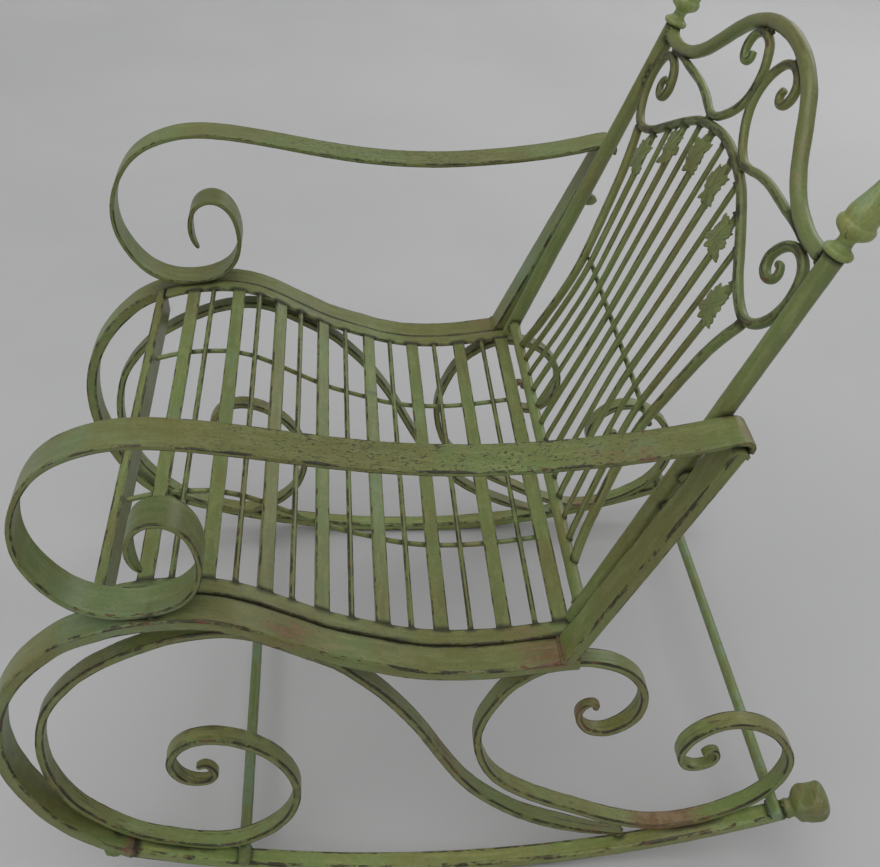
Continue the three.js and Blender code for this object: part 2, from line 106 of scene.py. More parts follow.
HOOP_HALF = [
    (0, 423), (37, 419), (73.5, 409.5), (106.5, 392), (138, 372), (163.5, 355.5), (188, 345), (207, 342.5),
    (225, 350), (239, 365), (246.5, 385), (245.5, 403), (239, 415), (227, 421.5), (213, 422.3), (200, 417.5),
    (189.5, 408), (184.5, 396.5), (188, 387), (198, 383.3), (207.5, 387), (211, 394.5), (206.5, 400.5), (200.5, 399)]
S_LINE = [
    (212, 430.2), (203, 431.8), (192, 433.0), (180, 433.6), (164, 433.8), (146, 434.2), (115, 434), (90, 430.5), (72, 426), (58, 424.6),
    (44, 428.5), (29, 438), (15, 451), (7, 464), (4.9, 479), (8, 494), (15.5, 506), (25.5, 515), (39.5, 519),
    (54, 516.8), (64.5, 509), (67, 498), (61.5, 489), (52, 487), (46, 492), (48, 499)]
OUTER_HALF = [(201, 8), (187, 41), (176, 82), (169, 112), (163.5, 148), (163.5, 178), (169.5, 211),
              (178.5, 256), (187, 290), (197, 316), (206, 334)]
LEAF_S = {1: 384, 3: 362, 5: 320}

# ------------------------------------------------------------------ frames
TILT = math.radians(REST_TILT)
SHIFT_Z = math.sqrt(ROCKER_R ** 2 - FLAT ** 2) - (ROCKER_LOW * math.sin(TILT) + (ROCKER_Z + ROCKER_R) * math.cos(TILT))
CT, ST = math.cos(TILT), math.sin(TILT)
CB, SB = math.cos(math.radians(90 - BACK_TILT)), math.sin(math.radians(90 - BACK_TILT))


def world(p):
    """untilted chair millimetres to the part's frame in metres"""
    p = np.asarray(p, float)
    return np.stack([p[..., 0], p[..., 1] * CT - p[..., 2] * ST + SHIFT_Y, p[..., 1] * ST + p[..., 2] * CT + SHIFT_Z], -1) / 1000.0


def back(x, s, n=0.0):
    x, s, n = np.broadcast_arrays(np.asarray(x, float), np.asarray(s, float), np.asarray(n, float))
    return np.stack([x, BACK_Y + s * CB - n * SB, BACK_Z + s * SB + n * CB], -1)


BACK_N = np.array([0.0, -SB, CB])

# ------------------------------------------------------------------ curves


def catmull(points, per=16):
    P = np.asarray(points, float)
    P = np.vstack([2 * P[0] - P[1], P, 2 * P[-1] - P[-2]])
    out = []
    t = np.linspace(0, 1, per, endpoint=False)[:, None]
    for i in range(1, len(P) - 2):
        x0, x1, x2, x3 = P[i - 1], P[i], P[i + 1], P[i + 2]
        d0, d1, d2 = [max(1e-4, np.linalg.norm(b - a)) ** 0.5 for a, b in ((x0, x1), (x1, x2), (x2, x3))]
        t1 = ((x1 - x0) / d0 - (x2 - x0) / (d0 + d1) + (x2 - x1) / d1) * d1
        t2 = ((x2 - x1) / d1 - (x3 - x1) / (d1 + d2) + (x3 - x2) / d2) * d1
        out.append(x1 + t1 * t + (-3 * x1 + 3 * x2 - 2 * t1 - t2) * t ** 2 + (2 * x1 - 2 * x2 + t1 + t2) * t ** 3)
    out.append(P[-2][None])
    return np.vstack(out)


def arclen(p):
    return np.concatenate([[0], np.cumsum(np.linalg.norm(np.diff(p, axis=0), axis=1))])


def resample(p, step):
    L = arclen(p)
    n = max(2, int(round(L[-1] / step)) + 1)
    u = np.linspace(0, L[-1], n)
    return np.stack([np.interp(u, L, p[:, k]) for k in range(p.shape[1])], -1)


def normals2(p):
    d = np.gradient(p, axis=0)
    d /= np.linalg.norm(d, axis=1)[:, None]
    return np.stack([-d[:, 1], d[:, 0]], -1), d


def mirror(pts):
    return [(-x, s) for x, s in pts]


def both(half):
    return mirror(half[1:])[::-1] + list(half)


def wobble(p, seed, scale, octaves=3):
    """smooth value in about -1..1 that varies over lengths of 1/scale"""
    rng = np.random.RandomState(seed)
    v = np.zeros(len(p))
    amp, tot = 1.0, 0.0
    for _ in range(octaves):
        for _ in range(3):
            k = rng.normal(size=3)
            k *= scale * 2 * math.pi / np.linalg.norm(k)
            v += amp * np.sin(p @ k + rng.uniform(0, 6.28))
        tot += amp * 1.7
        amp *= 0.55
        scale *= 2.1
    return v / tot


# ------------------------------------------------------------------ sections


def rrect(W, T, r, inset=0.0, k=4):
    w, t = W / 2 - inset, T / 2 - inset
    r = max(0.15, min(r - inset * 0.6, w * 0.98, t * 0.98))
    pts, edge = [], []
    longf = (0.05, 0.14, 0.32, 0.5, 0.68, 0.86, 0.95)
    longe = (0.42, 0.08, 0, 0, 0, 0.08, 0.42)
    shortf = (0.16, 0.5, 0.84)
    shorte = (0.45, 0.18, 0.45)
    corners = [(w - r, t - r, 0), (-w + r, t - r, 90), (-w + r, -t + r, 180), (w - r, -t + r, 270)]
    for c in range(4):
        cx, cy, a0 = corners[c]
        for j in range(k + 1):
            a = math.radians(a0 + 90 * j / k)
            pts.append((cx + r * math.cos(a), cy + r * math.sin(a)))
            edge.append(1.0)
        nx, ny, na = corners[(c + 1) % 4]
        a = math.radians(a0 + 90)
        p0 = np.array([cx + r * math.cos(a), cy + r * math.sin(a)])
        p1 = np.array([nx + r * math.cos(a), ny + r * math.sin(a)])
        fr, ed = (longf, longe) if c % 2 == 0 else (shortf, shorte)
        for f, e in zip(fr, ed):
            pts.append(tuple(p0 + (p1 - p0) * f))
            edge.append(e)
    return np.array(pts), np.array(edge)


def oval(W, T, inset=0.0, n=2.9, m=26):
    a = (np.arange(m) + 0.5) / m * 2 * math.pi
    c, s = np.cos(a), np.sin(a)
    w, t = max(0.1, W / 2 - inset), max(0.1, T / 2 - inset)
    pts = np.stack([w * np.sign(c) * np.abs(c) ** (2 / n), t * np.sign(s) * np.abs(s) ** (2 / n)], -1)
    e = np.clip((np.abs(pts[:, 0]) / w - 0.62) / 0.3, 0, 1)
    return pts, e ** 1.2


def circle(r, inset=0.0, m=16):
    a = np.arange(m) / m * 2 * math.pi
    rr = max(0.1, r - inset)
    return np.stack([rr * np.cos(a), rr * np.sin(a)], -1), np.zeros(m)


# ------------------------------------------------------------------ pieces
PIECES = []
# how light and how rubbed each piece is beside the rest
GAIN = {"rocker": 1.30, "finial": 1.62, "front_scroll": 1.06, "rear_scroll": 1.08, "hoop": 0.84, "crest": 0.98, "arm": 1.0,
        "stretcher_front": 0.80, "stretcher_rear": 1.0, "rocker_knob": 0.95, "side_frame": 1.0, "back_post": 0.98}
WEAR = {"front_scroll": 0.95, "rear_scroll": 0.85, "side_frame": 0.40, "arm": 0.22, "rocker": 0.30, "back_post": 0.6, "hoop": 0.6,
        "crest": 0.65, "back_scroll": 0.7, "plain_spindle": 0.8, "leaf_spindle": 0.5, "slat": 0.20, "seat_bar": 0.7, "stretcher": 0.4, "finial": 0.3, "rocker_knob": 0.5}


class Piece:
    def __init__(self, name, slot, *nodes, tint=0.0):
        self.name, self.slot, self.nodes, self.tint = name, slot, nodes, tint
        kin = name.rsplit("_", 1)[0]
        self.gain = GAIN.get(name, GAIN.get(kin, 1.0))
        self.wear = WEAR.get(name, WEAR.get(kin, 0.35))
        self.v, self.f, self.count = [], [], 0
        self.att = {k: [] for k in ("edge", "along", "across", "pit", "weld")}
        PIECES.append(self)

    def add(self, verts, faces, edge=0.0, along=0.0, across=0.0, pit=0.0, weld=0.0):
        n = len(verts)
        self.v.append(np.asarray(verts, float))
        self.f.extend([tuple(int(i) + self.count for i in q) for q in faces])
        for k, val in (("edge", edge), ("along", along), ("across", across), ("pit", pit), ("weld", weld)):
            self.att[k].append(np.broadcast_to(np.asarray(val, float), (n,)))
        self.count += n

    def sweep(self, path, A, B, section, cap=1.2, pit=0.0, rough=0.16, seed=1, width=None, closed_caps=(True, True)):
        """section(inset, i) -> points (a, b), edge weights; A and B are the section's axes at each path point"""
        path = np.asarray(path, float)
        N = len(path)
        A = np.broadcast_to(np.asarray(A, float), path.shape)
        B = np.broadcast_to(np.asarray(B, float), path.shape)
        T = np.gradient(path, axis=0)
        T /= np.linalg.norm(T, axis=1)[:, None]
        L = arclen(path)
        rings, al, ed, ac = [], [], [], []

        def ring(i, inset, shift):
            pts, e = section(inset, i)
            c = path[i] + T[i] * shift
            rings.append(c + pts[:, :1] * A[i] + pts[:, 1:] * B[i])
            al.append(np.full(len(pts), L[i] + shift))
            ed.append(e)
            per = np.concatenate([[0], np.cumsum(np.linalg.norm(np.diff(pts, axis=0), axis=1))])
            ac.append(per)

        for th in (90, 65, 40, 18):
            a = math.radians(th)
            ring(0, cap * (1 - math.cos(a)), cap * (1 - math.sin(a)))
        for i in range(N):
            if L[i] > cap and L[-1] - L[i] > cap:
                ring(i, 0.0, 0.0)
        for th in (18, 40, 65, 90):
            a = math.radians(th)
            ring(N - 1, cap * (1 - math.cos(a)), -cap * (1 - math.sin(a)))
        M = len(rings[0])
        R = len(rings)
        V = np.vstack(rings)
        # worked surface: a little uneven along the bar
        cent = np.repeat(np.array([r.mean(0) for r in rings]), M, axis=0)
        d = V - cent
        ln = np.linalg.norm(d, axis=1)[:, None]
        V = V + d / np.maximum(ln, 1e-6) * (rough * wobble(V, seed, 1 / 38.0))[:, None]
        i = np.arange(R - 1)[:, None] * M
        j = np.arange(M)[None, :]
        j2 = (j + 1) % M
        quads = np.stack([i + j, i + j2, i + M + j2, i + M + j], -1).reshape(-1, 4)
        faces = [tuple(q) for q in quads]
        e = np.concatenate(ed)
        a_ = np.concatenate(al)
        c_ = np.concatenate(ac)
        base = len(V)
        V = np.vstack([V, V[:M].mean(0), V[-M:].mean(0)])
        e = np.append(e, (0.2, 0.2))
        a_ = np.append(a_, (L[0], L[-1]))
        c_ = np.append(c_, (0, 0))
        for q in range(M):
            faces.append((base, (q + 1) % M, q))
            faces.append((base + 1, (R - 1) * M + q, (R - 1) * M + (q + 1) % M))
        e[:M * 3] = np.maximum(e[:M * 3], 0.7)
        e[-M * 3 - 2:-2] = np.maximum(e[-M * 3 - 2:-2], 0.7)
        self.add(V, faces, edge=e, along=a_, across=c_, pit=pit)

    def blob(self, c, r, axes=None, seed=0, lump=0.25, weld=1.0, m=12):
        """a welded bead: r holds the three half sizes along axes, and the bead is darkened by the given amount with
        dirt and painted shade
        """
        r = np.broadcast_to(np.asarray(r, float), (3,))
        axes = np.eye(3) if axes is None else np.asarray(axes, float)
        k = m // 2 + 1
        th = np.linspace(0, math.pi, k + 1)[1:-1]
        ph = np.arange(m) / m * 2 * math.pi
        g = np.array([[math.sin(t) * math.cos(p), math.sin(t) * math.sin(p), math.cos(t)] for t in th for p in ph] + [[0, 0, 1], [0, 0, -1]])
        n = 1 + lump * wobble(g * 10 + seed * 3.1, seed + 11, 0.12, 2)
        V = np.asarray(c, float) + (g * n[:, None] * r) @ axes
        rows = len(th)
        f = []
        for a in range(rows - 1):
            for b in range(m):
                b2 = (b + 1) % m
                f.append((a * m + b, (a + 1) * m + b, (a + 1) * m + b2, a * m + b2))
        top, bot = rows * m, rows * m + 1
        for b in range(m):
            b2 = (b + 1) % m
            f.append((top, b, b2))
            f.append((bot, (rows - 1) * m + b2, (rows - 1) * m + b))
        self.add(V, f, edge=0.25, along=V[:, 1], across=V[:, 2], weld=weld)

    def build(self):
        V = world(np.vstack(self.v))
        me = bpy.data.meshes.new(self.name)
        me.from_pydata(V.tolist(), [], self.f)
        bm = bmesh.new()
        bm.from_mesh(me)
        bmesh.ops.recalc_face_normals(bm, faces=bm.faces)
        bm.to_mesh(me)
        bm.free()
        me.polygons.foreach_set("use_smooth", [True] * len(me.polygons))
        self.world = V
        self.mesh = me
        ob = bpy.data.objects.new(self.name, me)
        bpy.context.scene.collection.objects.link(ob)
        self.ob = ob
        self.lo, self.hi = V.min(0), V.max(0)
        return ob

    def set(self, name, values):
        a = self.mesh.attributes.new(name, "FLOAT", "POINT")
        a.data.foreach_set("value", np.asarray(values, np.float32))


SIDES = (("left", 1), ("right", -1))
X = np.array([1.0, 0, 0])


def side_path(line, step):
    p = resample(catmull(line), step)
    n, d = normals2(p)
    path = np.column_stack([np.zeros(len(p)), p])
    B = np.column_stack([np.zeros(len(p)), n])
    return path, B


def at_x(path, x):
    q = path.copy()
    q[:, 0] = x
    return q


def arc_z(y, r=ROCKER_R):
    return ROCKER_Z + ROCKER_R - np.sqrt(r * r - (y - ROCKER_LOW) ** 2)


def top_z(y):
    return arc_z(y, ROCKER_R - ROCKER_T)


# ---- side frames: the loop and rail, then the arm post welded to its heel
outer = catmull(FRAME_OUTER + [(122.0, -47.9)])
outer = resample(outer, 3.4)
n_, _ = normals2(outer)
rail_mid = outer - n_ * (FRAME_T / 2)
rail_mid = rail_mid[rail_mid[:, 0] <= 121.9]
rn, _ = normals2(rail_mid)
slope = (230.6 - 100.5) / (227.6 + 48.6)
for tag, sg in SIDES:
    p = Piece(f"side_frame_{tag}", "side_paint", f"side_frame_{tag}", tint=0.15)
    xc = sg * (FRAME_IN + FRAME_W / 2)
    path = np.column_stack([np.full(len(rail_mid), xc), rail_mid])
    B = np.column_stack([np.zeros(len(rail_mid)), rn])
    p.sweep(path, X, B, lambda inset, i: rrect(FRAME_W, FRAME_T, 2.4, inset), cap=1.6, seed=3 + sg, rough=0.28)
    z = np.linspace(-54.0, 226.0, 84)
    y = 107.7 + slope * (z + 48.6)
    path = np.column_stack([np.full(len(z), xc), y, z])
    t = np.array([slope, 1.0]) / math.hypot(slope, 1)
    B = np.array([0, -t[1], t[0]])
    p.sweep(path, X, B, lambda inset, i: rrect(FRAME_W, 13.0, 2.2, inset), cap=1.6, seed=7 + sg, rough=0.22)
    # weld round the foot of the post
    for k in range(9):
        p.blob((xc - 15.5 + 31 * k / 8, 100.4, -48.2), (2.6, 2.2, 2.0), seed=40 + k + sg)
    for k in range(5):
        p.blob((xc - 13 + 26 * k / 4, 117.0, -48.0), (2.8, 2.4, 2.4), seed=60 + k + sg)
    # lump under the front end of the loop, and the weld to the rocker
    p.blob((sg * 302, -411.5, -357.0), (11, 12.5, 8.0), axes=[[1, 0, 0], [0, 0.76, -0.65], [0, 0.65, 0.76]], seed=81 + sg, lump=0.2, weld=0.5, m=16)
    p.blob((sg * 303, -388.8, -350.6), (9, 3.2, 3.0), seed=84 + sg)
    p.blob((sg * 311, -388.8, -360.0), (2.4, 2.6, 6.5), seed=86 + sg)
    # bead between arm and frame, and under the rear of the arm
    for k in range(6):
        p.blob((xc - 13.5 + 25 * k / 5, -297.5 + 1.5 * (k % 2), 54.2), (3.0, 3.6, 1.7), seed=90 + k + sg)
    for k in range(5):
        p.blob((xc - 14.5 + 26 * k / 4, 230.5, 226.0), (3.6, 2.6, 2.6), seed=97 + k + sg)
    for k in range(8):
        p.blob((xc - 15.5 + 30 * k / 7, 241.6, 219.6), (3.2, 2.6, 3.0), seed=103 + k + sg, weld=0.4)
    # rounded tab behind the arm post
    p.blob((sg * 274.0, 214.5, 160.0), (8.0, 15.5, 8.5), axes=[[1, 0, 0], [0, 0.94, -0.34], [0, 0.34, 0.94]], seed=105 + sg, lump=0.06, weld=0.1, m=24)

# ---- arms
arm_path, arm_B = side_path(ARM_LINE, 3.0)
arm_L = arclen(arm_path)


def arm_section(inset, i):
    left = arm_L[-1] - arm_L[i]
    k = min(1.0, left / 74.0)
    w = ARM_W * (0.16 + 0.84 * math.sin(k * math.pi / 2) ** 0.9)
    t = ARM_T * (0.7 + 0.3 * min(1, left / 30.0))
    return rrect(w, t, 1.5, inset)


for tag, sg in SIDES:
    p = Piece(f"arm_{tag}", "side_paint", f"arm_{tag}", tint=0.35)
    y = arm_path[:, 1]
    z = arm_path[:, 2]
    M = len(rrect(10, 5, 1)[0])
    p.sweep(at_x(arm_path, sg * (ARM_IN + ARM_W / 2)), X, arm_B, arm_section, cap=1.1, seed=13 + sg, rough=0.2)
    v = p.v[0]
    mid = np.clip(1 - np.abs((v[:, 1] + 20) / 230.0) ** 3, 0, 1) * (v[:, 2] > 190)
    p.att["pit"][0] = mid * 0.95 + 0.08

# ---- scrolls
for name, line, ends in (("front_scroll", FRONT_SCROLL, (True, False)), ("rear_scroll", REAR_SCROLL, (True, True))):
    path, B = side_path(line, 3.3)
    L = arclen(path)

    def sec(inset, i, L=L, ends=ends):
        k = 1.0
        if ends[0]:
            k = min(k, 0.46 + 0.54 * min(1, L[i] / 120.0))
        if ends[1]:
            k = min(k, 0.46 + 0.54 * min(1, (L[-1] - L[i]) / 120.0))
        t = 1.0 if ends[1] else 0.30 + 0.70 * min(1, (L[-1] - L[i]) / 85.0)
        return rrect(SCROLL_W * k * (0.55 + 0.45 * t), SCROLL_T * (0.5 + 0.5 * k) * t, 1.9, inset)

    for tag, sg in SIDES:
        p = Piece(f"{name}_{tag}", "side_paint", f"{name}_{tag}", tint=0.0 if name == "front_scroll" else 0.1)
        p.sweep(at_x(path, sg * (SCROLL_IN + SCROLL_W / 2)), X, B, sec, cap=1.6, seed=21 + sg + len(name), rough=0.3)
        xc = sg * (SCROLL_IN + SCROLL_W / 2)
        if name == "front_scroll":
            spots = [(-200, -0.5, 2.6), (-397, -336.5, 3.0), (-300, -384.5, 3.0), (205, -431.0, 2.6)]
        else:
            spots = [(116, -66.0, 2.8), (284, -416.2, 3.0), (48, -300, 0)]
        for k, (yy, zz, rr) in enumerate(spots):
            if rr:
                for q in range(5):
                    p.blob((xc + sg * (-5 + 2.6 * q), yy + (q % 2) * 2 - 1, zz), (rr, rr * 1.9, rr * 0.9), seed=120 + 7 * k + q + sg)

# ---- rockers
yy = np.linspace(ROCKER_FRONT, ROCKER_REAR, 260)
rest_y = ROCKER_LOW - ROCKER_R * math.sin(TILT)
lo = arc_z(yy)
chord = np.interp(yy, [rest_y - FLAT, rest_y + FLAT], [arc_z(rest_y - FLAT), arc_z(rest_y + FLAT)])
lo = np.where(np.abs(yy - rest_y) < FLAT, chord, lo)
hi = top_z(yy)
mid = np.column_stack([yy, (lo + hi) / 2])
th = hi - lo
rk_n, _ = normals2(mid)
for tag, sg in SIDES:
    p = Piece(f"rocker_{tag}", "side_paint", f"rocker_{tag}", tint=0.3)
    path = np.column_stack([np.full(len(yy), sg * (ROCKER_IN + ROCKER_W / 2)), mid])
    B = np.column_stack([np.zeros(len(yy)), rk_n])
    p.sweep(path, X, B, lambda inset, i: rrect(ROCKER_W, th[i] * rk_n[i, 1] - 0.15, 3.6, inset, k=5), cap=2.0, seed=31 + sg, rough=0.1)

# ---- knobs on the rocker ends
ang = math.asin((ROCKER_REAR - ROCKER_LOW) / ROCKER_R)
ka = np.array([0, math.cos(ang), math.sin(ang)])
kb = np.array([0, -math.sin(ang), math.cos(ang)])
for tag, sg in SIDES:
    p = Piece(f"rocker_knob_{tag}", "casting_paint", f"rocker_knob_{tag}", tint=0.1)
    prof = catmull([(0, 9.6), (1.5, 11.6), (4, 12.4), (7, 12.0), (9.5, 11.2), (11.5, 12.2), (14.5, 16.4), (18.5, 19.8),
                    (25, 21.3), (32, 22.2), (40, 22.4), (47, 21.6), (51.5, 18.6), (54, 14.0), (55.4, 7.5), (55.9, 1.0)], 6)
    c0 = np.array([sg * (ROCKER_IN + ROCKER_W / 2), ROCKER_REAR + 0.6, float(arc_z(ROCKER_REAR) + top_z(ROCKER_REAR)) / 2 + 0.5])
    m = 40
    a = np.arange(m) / m * 2 * math.pi
    rings = []
    for h, r in prof:
        sq = np.clip((h - 8) / 14, 0, 1)
        n = 2 + 2.6 * sq
        q = (np.abs(np.cos(a)) ** n + np.abs(np.sin(a)) ** n) ** (-1 / n)
        q = 1 + (q - 1) * 0.75
        rr = r * q / (1 + 0.06 * sq)
        rings.append(c0 + ka * h + rr[:, None] * (np.cos(a)[:, None] * X + np.sin(a)[:, None] * kb))
    V = np.vstack(rings)
    hh = np.repeat(prof[:, 0], m)
    d = V - (c0 + ka * hh[:, None])
    V += d / np.maximum(np.linalg.norm(d, axis=1), 1e-6)[:, None] * (wobble(V, 5 + sg, 1 / 30.0) * 1.9 * np.clip((hh - 8) / 10, 0, 1))[:, None]
    R = len(rings)
    f = [(i * m + j, i * m + (j + 1) % m, (i + 1) * m + (j + 1) % m, (i + 1) * m + j) for i in range(R - 1) for j in range(m)]
    b = len(V)
    V = np.vstack([V, c0, c0 + ka * 56.0])
    f += [(b, (j + 1) % m, j) for j in range(m)] + [(b + 1, (R - 1) * m + j, (R - 1) * m + (j + 1) % m) for j in range(m)]
    p.add(V, f, edge=0.12, along=V[:, 1], across=V[:, 2], pit=0.3)
    for k in range(8):
        t = k / 8 * 2 * math.pi
        p.blob(c0 + ka * 0.2 + 9.2 * (math.cos(t) * X + math.sin(t) * kb), (2.6, 2.6, 2.6), seed=150 + k + sg)

# ---- cross rods on the rockers
for name, y in (("stretcher_front", -262.0), ("stretcher_rear", 391.0)):
    sl = (y - ROCKER_LOW) / ROCKER_R
    z = float(top_z(y)) + (STRETCH_R + 0.3) * math.sqrt(1 + sl * sl) + 0.4
    p = Piece(name, "cross_rod_paint", name, tint=1.0)
    xs = np.linspace(-STRETCH_X, STRETCH_X, 190)
    path = np.column_stack([xs, np.full(len(xs), y), np.full(len(xs), z)])
    p.sweep(path, np.array([0, 1.0, 0]), np.array([0, 0, 1.0]), lambda inset, i: circle(STRETCH_R, inset, 18), cap=2.4, seed=int(abs(y)), rough=0.16)
    for sg in (1, -1):
        for dy in (-5.5, 5.5):
            for q in range(4):
                p.blob((sg * (ROCKER_IN + 3 + 5 * q), y + dy, z - 6.0), (3.2, 2.4, 2.2), seed=170 + q + sg)

# ---- seat
seat = resample(catmull([q for q in FRAME_OUTER if q[0] > -400 and q[1] > -80] + [(122, -47.5)]), 2.0)
LIFT = 1.5


def seat_at(y):
    z = np.interp(y, seat[:, 0], seat[:, 1]) + LIFT
    s = (np.interp(np.asarray(y) + 6, seat[:, 0], seat[:, 1]) - np.interp(np.asarray(y) - 6, seat[:, 0], seat[:, 1])) / 12
    return z, s


y0, y1 = FRONT_RAIL_Y + FRONT_RAIL_D / 2 + 0.3, 117.0
ys = np.linspace(y0, y1, 150)
top = np.column_stack([ys, seat_at(ys)[0]])
tn, _ = normals2(top)
strip_mid = top - tn * STRIP_T / 2
under_mid = top - tn * (SLAT_T + 0.6 + UNDER_R)
for tag, sg in SIDES:
    p = Piece(f"seat_strip_{tag}", "seat_paint", f"seat_strip_{tag}", tint=0.2)
    path = np.column_stack([np.full(len(ys), sg * (STRIP_IN + STRIP_W / 2)), strip_mid])
    B = np.column_stack([np.zeros(len(ys)), tn])
    p.sweep(path, X, B, lambda inset, i: rrect(STRIP_W, STRIP_T, 1.5, inset), cap=1.0, seed=43 + sg, rough=0.16)
    p = Piece(f"under_rod_{tag}", "seat_paint", f"under_rod_{tag}", tint=0.1)
    path = np.column_stack([np.full(len(ys), sg * UNDER_X), under_mid])
    p.sweep(path, X, B, lambda inset, i: circle(UNDER_R, inset, 10), cap=1.0, seed=47 + sg, rough=0.1)
half = STRIP_IN + 0.4


def slat(name, y, w, t, drop, seed, tint):
    z, s = seat_at(y)
    a = math.atan(s)
    up = np.array([0, -math.sin(a), math.cos(a)])
    fw = np.array([0, math.cos(a), math.sin(a)])
    xs = np.linspace(-half, half, 120)
    c = np.array([0, y, z]) - up * (t / 2 + drop)
    rng = np.random.RandomState(seed)
    bow = rng.uniform(-0.5, 0.5) * np.cos(xs / half * math.pi / 2) + rng.uniform(-0.25, 0.25) * np.sin(xs / half * math.pi)
    path = xs[:, None] * X + c + bow[:, None] * fw
    p = Piece(name, "seat_paint", name, tint=tint)
    if w < 10:
        p.sweep(path, fw, up, lambda inset, i: rrect(w, t, 1.9, inset, k=4), cap=0.8, seed=seed, rough=0.12)
    else:
        p.sweep(path, fw, up, lambda inset, i: rrect(w, t, 1.5, inset, k=4), cap=0.8, seed=seed, rough=0.16)
    for sg in (1, -1):
        for q in range(4 if w > 10 else 2):
            o = (q - (1.5 if w > 10 else 0.5)) * (w / 4 if w > 10 else 2.5)
            p.blob(sg * STRIP_IN * X + c + fw * o + up * (t / 2 - 1.2), (1.8, 2.6, 1.5), seed=seed + q + sg)
    return p


tints = np.random.RandomState(5).uniform(0.0, 0.8, 20)
for i, y in enumerate(SLATS_Y):
    slat(f"slat_{i + 1}", y, SLAT_W, SLAT_T, 0.3, 200 + 9 * i, tints[i])
for i, y in enumerate(BARS_Y):
    slat(f"seat_bar_{i + 1}", y, BAR_W, SLAT_T, 0.3, 300 + 9 * i, tints[i + 8] * 0.6)
slat("rear_rail", REAR_RAIL_Y, REAR_RAIL_W, SLAT_T + 1, 0.0, 400, 0.05)
p = Piece("front_rail", "seat_paint", "front_rail", tint=0.2)
zf = float(seat_at(FRONT_RAIL_Y)[0]) + 1 - FRONT_RAIL_H / 2
xs = np.linspace(-FRAME_IN - 0.4, FRAME_IN + 0.4, 130)
path = np.column_stack([xs, np.full(len(xs), FRONT_RAIL_Y), np.full(len(xs), zf)])
p.sweep(path, np.array([0, 0, 1.0]), np.array([0, 1.0, 0]), lambda inset, i: rrect(FRONT_RAIL_H, FRONT_RAIL_D, 2.2, inset), cap=1.0, seed=411, rough=0.2)

# ---- back panel


def panel(points, step, n=0.0):
    q = resample(catmull(points), step)
    nn, _ = normals2(q)
    path = back(q[:, 0], q[:, 1], n)
    B = back(nn[:, 0], nn[:, 1], 0.0) - back(0, 0, 0)
    return q, path, B


